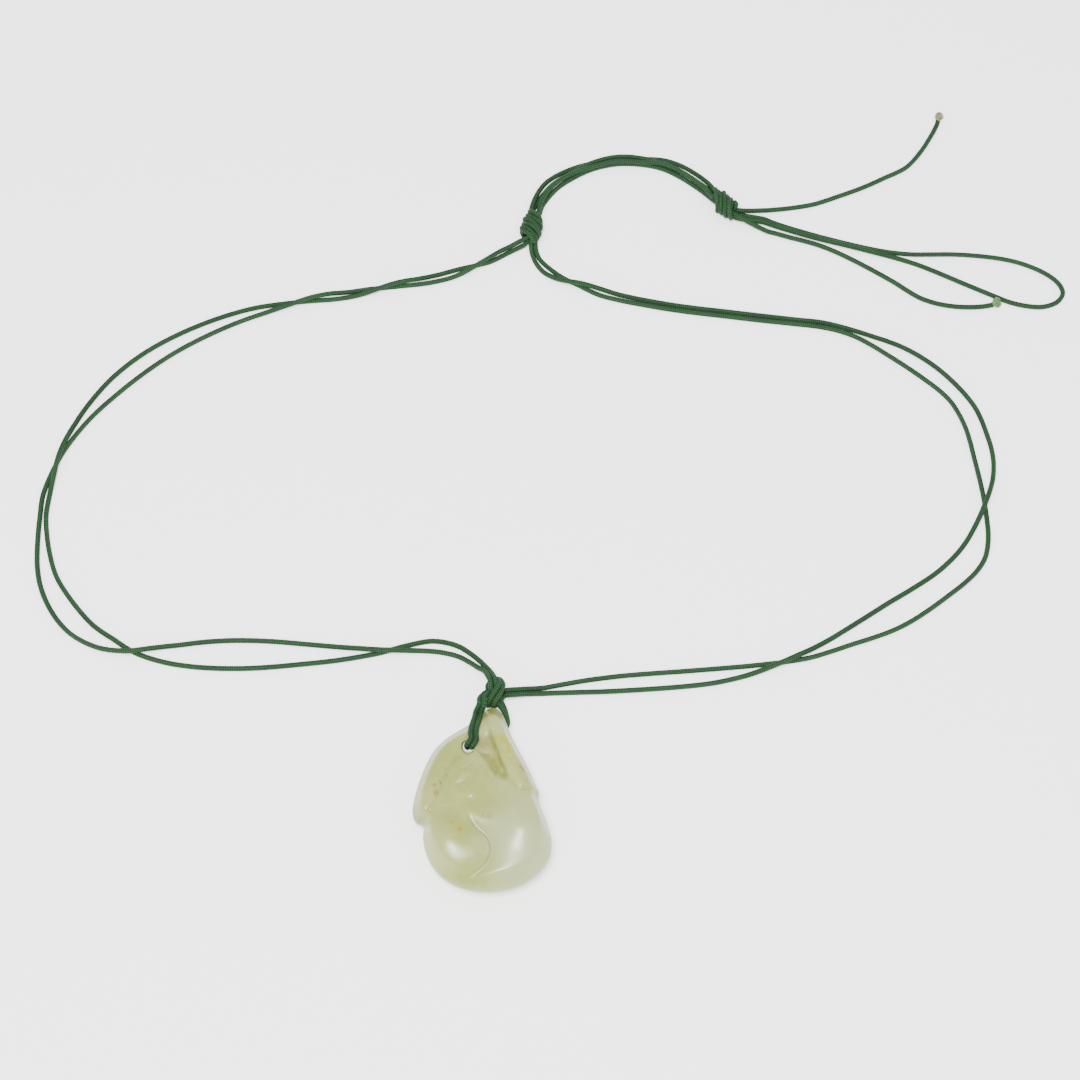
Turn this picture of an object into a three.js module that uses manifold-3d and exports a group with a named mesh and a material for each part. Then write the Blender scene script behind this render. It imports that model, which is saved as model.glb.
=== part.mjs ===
// A carved jade toggle on a long doubled braided cord that is closed by two sliding knots.
// Millimetres, +Z up. The toggle lies on its back with its pierced stalk end towards +Y, and the
// cord lies in a wide loop beyond it on the same surface.

import * as THREE from 'three';
import { mergeVertices } from 'three/addons/utils/BufferGeometryUtils.js';
import Module from 'manifold-3d';

const wasm = await Module();
wasm.setup();

// Driving dimensions
const TOGGLE_LENGTH = 50;
const TOGGLE_THICKNESS = 14.6;
const HOLE_DIAMETER = 3.4;
const HOLE_SLANT = 24; // degrees off upright, leaning towards the stalk end behind
const HOLE_FLARE = 0.2; // extra radius at each mouth
const CORD_DIAMETER = 1.2;
const FRONT_SLACK = 0.3; // how far the cord stands off the carving beyond its gap
const BACK_SLACK = 0.3;
const FIT_GAP = 0.3;
const TOGGLE_KNOT_DIAMETER = 5.2;
const TOGGLE_KNOT_LENGTH = 6;
const TOGGLE_KNOT_HEIGHT = 4.2; // of its middle
const TOGGLE_KNOT_OFFSET = 2.6; // to the right of the middle line
const SLIDING_KNOT_DIAMETER = 6;
const SLIDING_KNOT_LENGTH = 6.3;

// Facets
const OUTLINE_STEPS = 60;
const FRONT_RINGS = 20;
const BACK_RINGS = 9;
const CORD_SIDES = 8;
const KNOT_SIDES = 12;

const cordRadius = CORD_DIAMETER / 2;
const pairPitch = CORD_DIAMETER + FIT_GAP;

// The toggle is drawn 50 mm long and 14.6 mm thick and scaled to its driving dimensions.
const DRAWN_LENGTH = 50;
const DRAWN_THICKNESS = 14.6;
const planScale = TOGGLE_LENGTH / DRAWN_LENGTH;
const heightScale = TOGGLE_THICKNESS / DRAWN_THICKNESS;

// The rim seen from the front, clockwise from the stalk end: down the right leaf, round the fruit,
// in at the notch under the left leaf's ear and up that leaf.
const OUTLINE = [
  [2.5, 24.9], [4.6, 23.1], [5.8, 20], [6.7, 17], [8.7, 12.5], [11.3, 6.8], [13.2, 2.1],
  [13.8, 0.4], [13.6, -1.1], [14.6, -4.3], [16.1, -8.7], [16.9, -12.7], [16.4, -16.3],
  [14.5, -19.6], [11.3, -22.4], [7.6, -24.2], [3.8, -25], [0.2, -25.1], [-4.3, -24.3],
  [-8.6, -22.2], [-11.7, -19.1], [-13.6, -15.2], [-14.4, -11.4], [-14.3, -9.1], [-14.9, -7.6],
  [-16.4, -6.7], [-17.1, -4.7], [-16.7, -0.9], [-15.7, 3.3], [-14.2, 7.9], [-12.2, 12.1],
  [-10.3, 14.7], [-7.4, 17.3], [-4.1, 19.6], [-1.6, 21.9], [0.4, 24.1],
];
const HEART = [0, -3.5]; // every rim point is seen from here
const RIM_MIDDLE = [-0.1, -0.12]; // of the rim's box, which stands over the origin
const HOLE_PLACE = [-3.6, 11];

// Carved regions in the same drawing
const LEFT_LOBE = [
  [-3.8, 4], [-3.4, -7.5], [-1.7, -10.6], [0.9, -12.9], [2.2, -15.2], [2.1, -17.6], [0.5, -20.2],
  [-2.1, -21.9], [-4.8, -23.3], [-6, -25], [-12, -30], [-24, -24], [-24, 6], [-12, 8],
];
const RIGHT_LOBE = [
  [-3.4, 4], [-3, -7.5], [-1.4, -10.4], [1.2, -12.7], [2.6, -15.2], [2.5, -17.8], [0.8, -20.5],
  [-1.9, -22.3], [-5.6, -23.6], [-4.2, -24.9], [-1, -26.4], [6, -32], [24, -26], [24, 6], [12, 8],
];
const CENTRE_LEAF = [
  [-1.2, 10.5], [0.6, 8.6], [1.9, 6.2], [2.7, 3.9], [2.1, 1.9], [0, 0.1], [-2.2, -1.4], [-5, -2.6],
  [-7.7, -3.1], [-10.4, -4.2], [-12.1, -3.2], [-10.6, 0.2], [-9.4, 3.4], [-7.3, 7], [-4, 9.4],
];
const LEFT_LEAF = [
  [-4.8, 11.2], [-5.7, 8.8], [-7.5, 6], [-8.7, 3], [-9.7, 0], [-10.8, -2.7], [-12.1, -5.4], [-13.5, -8],
  [-18, -12], [-24, -6], [-22, 8], [-12, 22], [-4, 26], [-2.6, 18], [-4, 13.4],
];
const RIGHT_LEAF = [
  [0.4, 20.5], [1.4, 16.5], [2.6, 12.6], [3.8, 9], [5, 5.6], [6.2, 2.7], [7.6, 0.5], [9.2, -0.8],
  [10.8, -0.5], [12.4, -0.2], [16, -0.4], [22, 2], [16, 18], [7, 30], [-1, 30], [-0.4, 24],
];
const RECESS = [
  [-1.6, 13], [0.8, 15.2], [2.4, 13.4], [4.2, 9.6], [5.8, 5.6], [5.8, 3.6], [4.6, 3.6], [3.2, 5.6],
  [1.6, 8.4], [-0.4, 10.6],
];
const BACK_SEAM = [[1, -25], [-2.2, -19], [-2.8, -12], [-0.8, -5], [1.4, 2], [1, 9]];

const CLOSED_STEPS = 72;
const SEAM_STEPS = 30;

function smoothStep(from, to, value) {
  const share = Math.min(1, Math.max(0, (value - from) / (to - from)));
  return share * share * (3 - 2 * share);
}

function splinePoints(points, closed, steps) {
  const knots = points.map(([x, y]) => new THREE.Vector3(x, y, 0));
  const curve = new THREE.CatmullRomCurve3(knots, closed, 'centripetal');
  const spaced = curve.getSpacedPoints(steps);
  return closed ? spaced.slice(0, -1) : spaced;
}

// Distance from a place to a polyline
function distanceTo(line, closed, x, y) {
  let best = Infinity;
  const last = closed ? line.length : line.length - 1;
  for (let i = 0; i < last; i++) {
    const a = line[i];
    const b = line[(i + 1) % line.length];
    const dx = b.x - a.x;
    const dy = b.y - a.y;
    const share = ((x - a.x) * dx + (y - a.y) * dy) / (dx * dx + dy * dy);
    const along = Math.min(1, Math.max(0, share));
    best = Math.min(best, Math.hypot(x - a.x - along * dx, y - a.y - along * dy));
  }
  return best;
}

function isInside(line, x, y) {
  let inside = false;
  for (let i = 0, j = line.length - 1; i < line.length; j = i++) {
    const a = line[i];
    const b = line[j];
    if ((a.y > y) !== (b.y > y) && x < a.x + ((b.x - a.x) * (y - a.y)) / (b.y - a.y)) inside = !inside;
  }
  return inside;
}

// A region answers with its depth: how far inside its edge a place is, negative outside.
function region(points) {
  const line = splinePoints(points, true, CLOSED_STEPS);
  return (x, y) => distanceTo(line, true, x, y) * (isInside(line, x, y) ? 1 : -1);
}

const leftLobe = region(LEFT_LOBE);
const rightLobe = region(RIGHT_LOBE);
const centreLeaf = region(CENTRE_LEAF);
const leftLeaf = region(LEFT_LEAF);
const rightLeaf = region(RIGHT_LEAF);
const recess = region(RECESS);
const backSeam = splinePoints(BACK_SEAM, false, SEAM_STEPS);

// The rim as a radius round the heart
const rim = splinePoints(OUTLINE, true, 4 * OUTLINE_STEPS);
const rimAngles = rim.map((p) => Math.atan2(p.y - HEART[1], p.x - HEART[0]));

function rimRadius(angle) {
  for (let i = 0; i < rim.length; i++) {
    const j = (i + 1) % rim.length;
    let turn = rimAngles[i] - rimAngles[j];
    let part = rimAngles[i] - angle;
    if (turn < -Math.PI) turn += 2 * Math.PI;
    if (part < -Math.PI) part += 2 * Math.PI;
    if (part > Math.PI) part -= 2 * Math.PI;
    if (turn > 0 && part >= 0 && part <= turn) {
      const share = part / turn;
      const from = Math.hypot(rim[i].x - HEART[0], rim[i].y - HEART[1]);
      const to = Math.hypot(rim[j].x - HEART[0], rim[j].y - HEART[1]);
      return from + share * (to - from);
    }
  }
  return 1;
}

function shareOut(x, y) {
  const dx = x - HEART[0];
  const dy = y - HEART[1];
  return Math.min(1, Math.hypot(dx, dy) / rimRadius(Math.atan2(dy, dx)));
}

// Heights of the drawing
const RIM_HEIGHT = 6.2;
const STALK_DROP = 1.7; // how much lower the rim is at the stalk
const STALK_DROP_SPAN = [8, 25]; // a span runs along y unless it says otherwise
const FRONT_SWELL = 5.35;
const STALK_SWELL = 1.9;
const FRONT_SWELL_SPAN = [27, -12];
const BACK_SWELL = 6.6;
const STALK_BACK_SWELL = 1.7;
const BACK_SWELL_SPAN = [24, -4];
const BACK_RIM_POWER = 2.1;
const FRONT_RIM_POWER = 2.9; // the higher, the flatter the front and the steeper its rim
const EDGE_FADE = [1, 0.84]; // share of the way out over which the carving fades
const STALK_THINNING = 0.35; // share of the carving that is lost at the stalk
const STALK_THINNING_SPAN = [12, 25];
const SHOULDER = 1.9; // height of the fruit's skin over its own swell
const CLEFT_LIP = 0.4; // how far the left lobe stands over the right one
const CLEFT_FADE_SPAN = [-13, -6];
const LOBE_DOMES = [[-9, -14], [9.5, -9.5]]; // where each lobe is fullest
const DOME_RISE = 1.4;
const DOME_RADIUS = 6;
const RECESS_DEPTH = 1.7;
const RECESS_REACH = 2.6; // how far out of its edge the hollow begins
const LEAF_SINK = 0.3; // how far a leaf's edge lies under the shoulder
const CENTRE_LEAF_SINK = 0.1;
const CENTRE_LEAF_RISE = 0.6;
const CENTRE_LEAF_FADE = [-8, 0]; // across it, from lying flush to standing free
const LEFT_LEAF_RISE = 1.4;
const RIGHT_LEAF_RISE = 1.7;
const LEAF_FALL = 5; // how far in from its edge a leaf hollows out
const BACK_SEAM_DEPTH = 0.9;
const BACK_SEAM_WIDTH = 1.5;
const REST_SPOT_RADIUS = 6; // of the small flat spot that it lies on
const REST_SPOT_FADE = 3;
const REST_SPOT_Y = -6;

function rimHeight(y) {
  return RIM_HEIGHT - STALK_DROP * smoothStep(...STALK_DROP_SPAN, y);
}

function rounded(share, power) {
  return Math.pow(Math.max(0, 1 - Math.pow(share, power)), 1 / power);
}

function pillow(depth, rise, run) {
  return depth > 0 ? rise * (1 - Math.exp(-depth / run)) : 0;
}

function leafTop(depth, rise, run, floor) {
  const hollow = floor + (1 - floor) * Math.exp(-Math.max(depth, 0) / LEAF_FALL);
  return SHOULDER - LEAF_SINK + pillow(depth, rise, run) * hollow;
}

function frontRelief(x, y) {
  const centre = centreLeaf(x, y);
  const left = leftLeaf(x, y);
  const right = rightLeaf(x, y);
  let level = pillow(leftLobe(x, y), SHOULDER + CLEFT_LIP, 1.5);
  level += pillow(rightLobe(x, y), SHOULDER, 2.4);
  const lay = (cover, top) => {
    level += (top - level) * cover;
  };
  lay(smoothStep(...CLEFT_FADE_SPAN, y), SHOULDER);
  for (const [domeX, domeY] of LOBE_DOMES) {
    level += DOME_RISE * Math.exp(-Math.pow(Math.hypot(x - domeX, y - domeY) / DOME_RADIUS, 2));
  }
  const free = smoothStep(...CENTRE_LEAF_FADE, x);
  const centreTop = pillow(centre, CENTRE_LEAF_RISE, 1) - CENTRE_LEAF_SINK;
  lay(smoothStep(-0.5, 0.5, centre), SHOULDER + free * centreTop);
  level -= RECESS_DEPTH * smoothStep(-RECESS_REACH, 1, recess(x, y));
  lay(smoothStep(-0.4, 0.4, left), leafTop(left, LEFT_LEAF_RISE, 0.9, 0.55));
  lay(smoothStep(-0.4, 0.4, right), leafTop(right, RIGHT_LEAF_RISE, 1.1, 0.65));
  return level;
}

function frontHeight(x, y, share = shareOut(x, y)) {
  const swell = STALK_SWELL + (FRONT_SWELL - STALK_SWELL) * smoothStep(...FRONT_SWELL_SPAN, y);
  const thinning = STALK_THINNING * smoothStep(...STALK_THINNING_SPAN, y);
  const fade = smoothStep(...EDGE_FADE, share) * (1 - thinning);
  return rimHeight(y) + swell * rounded(share, FRONT_RIM_POWER) + frontRelief(x, y) * fade;
}

function backHeight(x, y, share = shareOut(x, y)) {
  const swell = STALK_BACK_SWELL + (BACK_SWELL - STALK_BACK_SWELL) * smoothStep(...BACK_SWELL_SPAN, y);
  const away = distanceTo(backSeam, false, x, y) / BACK_SEAM_WIDTH;
  const fromSpot = Math.hypot(x, y - REST_SPOT_Y);
  const flat = smoothStep(REST_SPOT_RADIUS + REST_SPOT_FADE, REST_SPOT_RADIUS, fromSpot);
  const seam = BACK_SEAM_DEPTH * Math.exp(-away * away) * smoothStep(...EDGE_FADE, share) * (1 - flat);
  return Math.max(0, rimHeight(y) - swell * rounded(share, BACK_RIM_POWER) + seam);
}

function frontAt(x, y) {
  return frontHeight(x / planScale, y / planScale) * heightScale;
}

function backAt(x, y) {
  return backHeight(x / planScale, y / planScale) * heightScale;
}

// Materials
const jadeStone = new THREE.MeshStandardMaterial({ color: 0xc6c9a6, roughness: 0.22, metalness: 0 });
const braid = new THREE.MeshStandardMaterial({ color: 0x2f5a3c, roughness: 0.7, metalness: 0 });

function solidFrom(geometry) {
  const bare = geometry.clone();
  bare.deleteAttribute('normal');
  bare.deleteAttribute('uv');
  const merged = mergeVertices(bare, 1e-5);
  return new wasm.Manifold(new wasm.Mesh({
    numProp: 3,
    vertProperties: new Float32Array(merged.attributes.position.array),
    triVerts: new Uint32Array(merged.index.array),
  }));
}

function geometryFrom(solid) {
  const { vertProperties, triVerts } = solid.getMesh();
  const geometry = new THREE.BufferGeometry();
  geometry.setAttribute('position', new THREE.BufferAttribute(new Float32Array(vertProperties), 3));
  geometry.setIndex(new THREE.BufferAttribute(new Uint32Array(triVerts), 1));
  geometry.computeVertexNormals();
  return geometry;
}

// One ring of points for each step in from the rim, over the front and under the back
function carvedBody() {
  const edge = splinePoints(OUTLINE, true, OUTLINE_STEPS);
  const count = edge.length;
  const positions = [];
  const faces = [];
  const addRing = (share, height) => {
    const first = positions.length / 3;
    for (const p of edge) {
      const x = HEART[0] + (p.x - HEART[0]) * share;
      const y = HEART[1] + (p.y - HEART[1]) * share;
      positions.push(x * planScale, y * planScale, height(x, y, share) * heightScale);
    }
    return first;
  };
  const addSide = (rings, height, outer, up) => {
    let from = outer;
    for (let ring = rings - 1; ring > 0; ring--) {
      const to = addRing(Math.sin((ring / rings) * (Math.PI / 2)), height);
      for (let i = 0; i < count; i++) {
        const j = (i + 1) % count;
        if (up) faces.push(from + i, to + i, from + j, from + j, to + i, to + j);
        else faces.push(from + i, from + j, to + i, from + j, to + j, to + i);
      }
      from = to;
    }
    const tip = positions.length / 3;
    positions.push(HEART[0] * planScale, HEART[1] * planScale, height(...HEART, 0) * heightScale);
    for (let i = 0; i < count; i++) {
      const j = (i + 1) % count;
      if (up) faces.push(from + i, tip, from + j);
      else faces.push(from + i, from + j, tip);
    }
  };
  const outer = addRing(1, (x, y) => rimHeight(y));
  addSide(FRONT_RINGS, frontHeight, outer, true);
  addSide(BACK_RINGS, backHeight, outer, false);
  const geometry = new THREE.BufferGeometry();
  geometry.setAttribute('position', new THREE.Float32BufferAttribute(positions, 3));
  geometry.setIndex(faces);
  return geometry;
}

// The hole's axis goes through a point half way between the two faces.
const slant = THREE.MathUtils.degToRad(HOLE_SLANT);
const holeX = HOLE_PLACE[0] * planScale;
const holeFrontY = HOLE_PLACE[1] * planScale;
const holeTop = frontAt(holeX, holeFrontY);
const holeBackY = holeFrontY + (holeTop - backAt(holeX, holeFrontY)) * Math.tan(slant);
const holeBottom = backAt(holeX, holeBackY);
const holeAxis = new THREE.Vector3(0, -Math.sin(slant), Math.cos(slant));
const holeFoot = new THREE.Vector3(holeX, holeBackY, holeBottom);
const holeDepth = (holeTop - holeBottom) / Math.cos(slant);

// A drill that is wider at both mouths, standing on its foot along the hole's axis
function drill() {
  const radius = HOLE_DIAMETER / 2;
  const overrun = 4;
  const mouth = 1.3;
  const wide = radius + HOLE_FLARE;
  const throat = radius + HOLE_FLARE / 4;
  const profile = [
    [0, -overrun], [wide + 1, -overrun], [wide, 0], [throat, mouth / 2], [radius, mouth],
    [radius, holeDepth - mouth], [throat, holeDepth - mouth / 2], [wide, holeDepth],
    [wide + 1, holeDepth + overrun], [0, holeDepth + overrun],
  ].map(([r, h]) => new THREE.Vector2(r, h));
  const geometry = new THREE.LatheGeometry(profile, 18);
  const upright = new THREE.Vector3(0, 1, 0);
  geometry.applyQuaternion(new THREE.Quaternion().setFromUnitVectors(upright, holeAxis));
  geometry.translate(holeFoot.x, holeFoot.y, holeFoot.z);
  return geometry;
}

function jadeToggle() {
  const pierced = solidFrom(carvedBody()).subtract(solidFrom(drill()));
  const mesh = new THREE.Mesh(geometryFrom(pierced), jadeStone);
  mesh.name = 'jade_toggle';
  return mesh;
}

// The cord's places are measured from the middle of the knot at the toggle.
const knotX = TOGGLE_KNOT_OFFSET;
const knotY = OUTLINE[0][1] * planScale + FIT_GAP + TOGGLE_KNOT_LENGTH / 2 + CORD_DIAMETER;

// Routes: [x, y] lies on the surface, [x, y, z] gives the height of the cord's middle.
const NECK_LEFT_LOWER = [
  [-0.5, 3.9, 4.2], [-1.4, 6, 3.4], [-4.4, 10.6, 1.9], [-9.3, 14.8, 0.8], [-16.5, 16.4],
  [-29.5, 13], [-39.5, 11], [-50, 9.7], [-61, 8.7], [-72, 8.7], [-82.5, 10], [-91.5, 13],
  [-97.5, 17], [-103.5, 21.5], [-113, 34], [-115.7, 41], [-117.3, 48], [-118, 54.5], [-116.8, 66.5],
  [-116, 71.5], [-114, 79], [-111, 86], [-104.7, 96], [-97, 104], [-89.5, 109.5], [-81.5, 114],
  [-73.5, 117.5], [-65.5, 120], [-52, 122], [-46, 122.5], [-41, 123.3], [-35.5, 124.7],
  [-28.5, 127], [-21.5, 129.2], [-10.5, 132.9], [-2.8, 135.1], [0.5, 136.5], [3.3, 138.2],
  [5.5, 139.4, 1], [7, 140.3, 1.5],
];
const NECK_LEFT_UPPER = [
  [-2, 3.9, 3.6], [-4.4, 8.2, 2.1], [-9.3, 11.9, 0.8], [-16.5, 13.5], [-29.5, 13.2], [-39.5, 14.6],
  [-50, 15.7], [-58, 16.4], [-67, 16.6], [-75.5, 16], [-84, 14.6], [-91.5, 13], [-95, 13],
  [-101, 14.4], [-108.5, 18.5], [-114, 25], [-117.7, 33], [-119.2, 41], [-119.6, 54.5],
  [-119.3, 60.5], [-116, 71.5], [-113, 77.5], [-108.8, 84], [-103.5, 90.3], [-96.5, 97.5],
  [-89, 104], [-81, 109.5], [-73, 114], [-65, 117.6], [-52, 122], [-46, 124], [-41, 125],
  [-35.5, 126], [-21.5, 127.7], [-16, 128.9], [-10.5, 130.9], [-2.8, 135.5], [0.5, 138.2],
  [3, 140.1, 0.9], [5.7, 141.4, 2],
];
const NECK_RIGHT_INNER = [
  [3.4, -0.8, 3.4], [7.5, 0.4, 1.6], [12.5, 1.3], [27, 2], [40, 2.8], [48, 3.5], [55.5, 4.5],
  [63.5, 6.5], [71, 9], [74.5, 10.5], [80.5, 13.8], [91.5, 21], [101, 27.5], [113.5, 36],
  [120.5, 43], [125, 50], [128.3, 57], [131, 65], [131.6, 72], [130.5, 79], [128, 87.5],
  [122, 96.5], [116, 102.5], [109.5, 107], [102, 110.3], [93.5, 113.5], [88, 115], [82.5, 115.7],
  [71.5, 117.2], [61, 118.7], [50, 120.3], [39, 122.6], [28, 125.5], [22.5, 127], [17, 128.6],
  [12.5, 131.6], [9.9, 135.2], [8.9, 138.2, 1.2], [8.8, 140.5, 2.9],
];
const NECK_RIGHT_OUTER = [
  [3.4, 0.8, 3.4], [7.5, 2, 1.6], [12.5, 3.1], [22, 5], [32.5, 6.5], [48, 7.8], [63.5, 9.2],
  [69.5, 9.9], [74.5, 10.6], [80.5, 11.8], [91, 15.5], [100.5, 19], [107, 22.5], [117, 30],
  [123.7, 36], [127, 41], [128.3, 47], [128.4, 52], [128, 60], [126.5, 72], [125, 81],
  [121.5, 89.5], [115.5, 96], [106, 104], [98.5, 109.5], [93.5, 111.9], [88, 113.4], [82.5, 114.2],
  [71.5, 115.6], [61, 117.1], [50, 118.7], [39, 120.9], [28, 123.9], [22.5, 127], [17.5, 130],
  [14, 133], [11.7, 136.2], [10.7, 138.8, 1.2], [10.3, 140.7, 2.6],
];
const END_LOOP = [
  [67.3, 151.3, 3.2], [70.5, 150.8, 1.9], [74, 149.8, 1.2], [78, 148.3, 0.8], [87.5, 144.8],
  [96.5, 141.9], [106.5, 139.2], [114.5, 138], [125.5, 137.8], [135, 137], [143, 135.3], [150, 132],
  [154.2, 128.2], [155.3, 124.7], [153.3, 121.6], [148.5, 120], [141, 121.4], [137, 123.3],
  [128, 128], [116.5, 134], [111, 136], [106, 137.4], [96.5, 140.2], [87.3, 143], [77.8, 146.5],
  [74, 148, 0.7], [70.2, 149.2, 1.3], [67.1, 149.9, 1.9],
];
const FREE_END_UPPER = [
  [68.3, 152.9, 3.4], [71.3, 152.9, 1.8], [75, 152.9, 0.8], [80, 153.5], [88, 155], [94.5, 157.5],
  [102.5, 161], [109, 164.5], [115, 168], [119.5, 173.5], [122.5, 178.5], [125, 183.5], [125.4, 185],
];
const FREE_END_LOWER = [
  [66, 148.5, 2.1], [69.5, 147.2, 1.6], [74.5, 145.6, 1.1], [81, 143.6, 0.7], [88.5, 141.1], [94.5, 138.1],
  [102.5, 133], [109.5, 128], [115.5, 123.3], [121, 121], [127.5, 120], [133, 120.2], [135.8, 120.8],
];

// Where one run lies over another: the upper one rises by a cord and a gap.
const LOWER_OVER = [[-116, 71.5], [-28.5, 127]];
const UPPER_OVER = [[-29.5, 13], [-91.5, 13], [-52, 122], [-2.8, 135.4]];
const INNER_OVER = [[74.5, 10.5], [128.3, 56], [22.5, 126.9]];
const CROSSING_REACH = 13;

// The four runs between the sliding knots: their middle line, and for each run how far it is to the
// outer side and how high at every point.
const CLOSURE_MIDDLE = [
  [9.7, 149.2], [11.2, 155], [14.8, 161.3], [20, 165.5], [26, 168.4], [33, 170], [40, 170],
  [46.5, 168.8], [52.5, 165.3], [57.5, 160.6], [60.6, 155.9],
];
const CLOSURE_RUNS = [
  [[0.8, 3.8], [1.5, 2.1], [2.1, 0.8], [1.7, 0.6], [1.1, 0.6], [0.8, 0.6], [1.1, 0.6], [1.8, 0.6],
    [2.2, 0.6], [1.7, 1.7], [0.8, 3.7]],
  [[0.8, 2.3], [0.6, 1], [0.3, 0.7], [0.2, 0.9], [0.3, 1.9], [0.7, 2.1], [0.4, 1.95], [0.3, 0.7],
    [0.3, 0.6], [0.5, 0.9], [0.8, 2.2]],
  [[-0.8, 3.8], [-0.7, 2.6], [-0.6, 2.1], [-0.8, 2.05], [-1.1, 2.1], [-0.75, 2.1], [-1, 2],
    [-0.6, 2.1], [-0.5, 2], [-0.7, 2.4], [-0.8, 3.7]],
  [[-0.8, 2.3], [-1.1, 1.1], [-1.5, 0.6], [-1.4, 0.6], [-1, 0.6], [-0.75, 0.6], [-0.9, 0.6],
    [-1.3, 0.6], [-1.4, 0.6], [-1.2, 1], [-0.8, 2.2]],
];
const NEAR_KNOT_PLACE = [9, 145];
const NEAR_KNOT_TURN = 80; // degrees from +X to its axis
const FAR_KNOT_PLACE = [63.5, 153];
const FAR_KNOT_TURN = -40;

function routeCurve(points, overs = []) {
  const knots = points.map(([x, y, z = cordRadius]) => new THREE.Vector3(x, y, z));
  const flat = new THREE.CatmullRomCurve3(knots, false, 'centripetal');
  const raised = flat.getSpacedPoints(3 * points.length);
  for (const p of raised) {
    p.z = Math.max(p.z, cordRadius);
    for (const [x, y] of overs) {
      const away = Math.min(1, Math.hypot(p.x - x, p.y - y) / CROSSING_REACH);
      p.z += pairPitch * Math.pow(Math.cos((away * Math.PI) / 2), 2);
    }
  }
  return new THREE.CatmullRomCurve3(raised, false, 'centripetal');
}

function cordTube(name, curve, steps) {
  const section = new THREE.Shape();
  for (let i = 0; i < CORD_SIDES; i++) {
    const angle = (2 * Math.PI * i) / CORD_SIDES;
    const corner = [cordRadius * Math.cos(angle), cordRadius * Math.sin(angle)];
    if (i === 0) section.moveTo(...corner);
    else section.lineTo(...corner);
  }
  const options = { steps, bevelEnabled: false, extrudePath: curve };
  const geometry = new THREE.ExtrudeGeometry(section, options);
  const mesh = new THREE.Mesh(geometry, braid);
  mesh.name = name;
  return mesh;
}

function closureCurve(run) {
  const count = CLOSURE_MIDDLE.length;
  const points = CLOSURE_MIDDLE.map(([x, y], i) => {
    const before = CLOSURE_MIDDLE[Math.max(0, i - 1)];
    const after = CLOSURE_MIDDLE[Math.min(count - 1, i + 1)];
    const along = Math.hypot(after[0] - before[0], after[1] - before[1]);
    const [side, height] = run[i];
    const headingX = (after[0] - before[0]) / along;
    const headingY = (after[1] - before[1]) / along;
    return [x - side * headingY, y + side * headingX, height];
  });
  return routeCurve(points);
}

// A place on a face of the toggle, moved off it along its normal
function offSurface(heightAt, x, y, distance) {
  const step = 0.2;
  const normal = new THREE.Vector3(
    (heightAt(x - step, y) - heightAt(x + step, y)) / (2 * step),
    (heightAt(x, y - step) - heightAt(x, y + step)) / (2 * step),
    1,
  ).normalize();
  return new THREE.Vector3(x, y, heightAt(x, y)).addScaledVector(normal, distance);
}

// The pair goes from the knot down the front, through the hole and up behind the stalk end.
const PAIR_FRONT = [[1.2, 23.8], [0.2, 21.2], [-0.8, 18.6], [-1.8, 16.2], [-2.9, 13.7]];
const PAIR_BACK = [[-1.6, 18], [1.2, 20.6], [3.6, 23.4]];
const PAIR_IN_HOLE = [0.93, 0.7, 0.4, 0]; // shares of the hole's depth
const HOLE_LEAN = 0.15; // how far the pair keeps from the hole's axis towards the stalk
const FRONT_KNOT_END = [-1.2, 7.1]; // the pair's end at the knot: right of its middle, and height
const BACK_KNOT_END = [1.2, 2.4];
const BACK_TWIST = 0.6; // how much lower the pair's right cord runs behind the stalk

function loopCurve(side) {
  const clear = cordRadius + FIT_GAP;
  const aside = (side * pairPitch) / 2;
  const right = (HOLE_DIAMETER / 2 - clear - pairPitch / 2) / 3; // from the hole's axis
  const endY = knotY - TOGGLE_KNOT_LENGTH / 2 - FIT_GAP;
  const points = [new THREE.Vector3(knotX + FRONT_KNOT_END[0] + aside, endY, FRONT_KNOT_END[1])];
  for (const [x, y] of PAIR_FRONT) {
    points.push(offSurface(frontAt, x * planScale + aside, y * planScale, clear + FRONT_SLACK));
  }
  const across = new THREE.Vector3(aside + right, HOLE_LEAN * Math.cos(slant), HOLE_LEAN * Math.sin(slant));
  for (const share of PAIR_IN_HOLE) {
    points.push(holeFoot.clone().addScaledVector(holeAxis, holeDepth * share).add(across));
  }
  for (const [x, y] of PAIR_BACK) {
    const placeY = y * planScale - aside * BACK_TWIST;
    points.push(offSurface(backAt, x * planScale + aside, placeY, -clear - BACK_SLACK));
  }
  const backEndY = endY - aside * 0.4;
  points.push(new THREE.Vector3(knotX + BACK_KNOT_END[0] + aside, backEndY, BACK_KNOT_END[1]));
  return new THREE.CatmullRomCurve3(points, false, 'centripetal');
}

const GROOVE_DEPTH = 0.35; // between two wraps, as a share of a wrap's width
const TOGGLE_KNOT_END = 0.78; // thickness of a knot's end, as a share of its middle
const SLIDING_KNOT_END = 0.9;

// A knot's outer shape: side by side wraps round its axis, which lies level along +X before its turn
function bandedKnot(name, length, diameter, bands, end) {
  const radius = diameter / 2;
  const pitch = length / bands;
  const profile = [new THREE.Vector2(0, -length / 2)];
  for (let i = 0; i < bands; i++) {
    const crown = radius * (end + (1 - end) * Math.sin((Math.PI * (i + 0.5)) / bands));
    const start = -length / 2 + i * pitch;
    profile.push(new THREE.Vector2(crown - GROOVE_DEPTH * pitch, start + 0.02 * length));
    profile.push(new THREE.Vector2(crown, start + 0.5 * pitch));
  }
  profile.push(new THREE.Vector2(profile[1].x, length / 2), new THREE.Vector2(0, length / 2));
  const geometry = new THREE.LatheGeometry(profile, KNOT_SIDES);
  geometry.rotateZ(-Math.PI / 2);
  const mesh = new THREE.Mesh(geometry, braid);
  mesh.name = name;
  return mesh;
}

const cord = new THREE.Group();
cord.position.set(knotX, knotY, 0);

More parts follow.
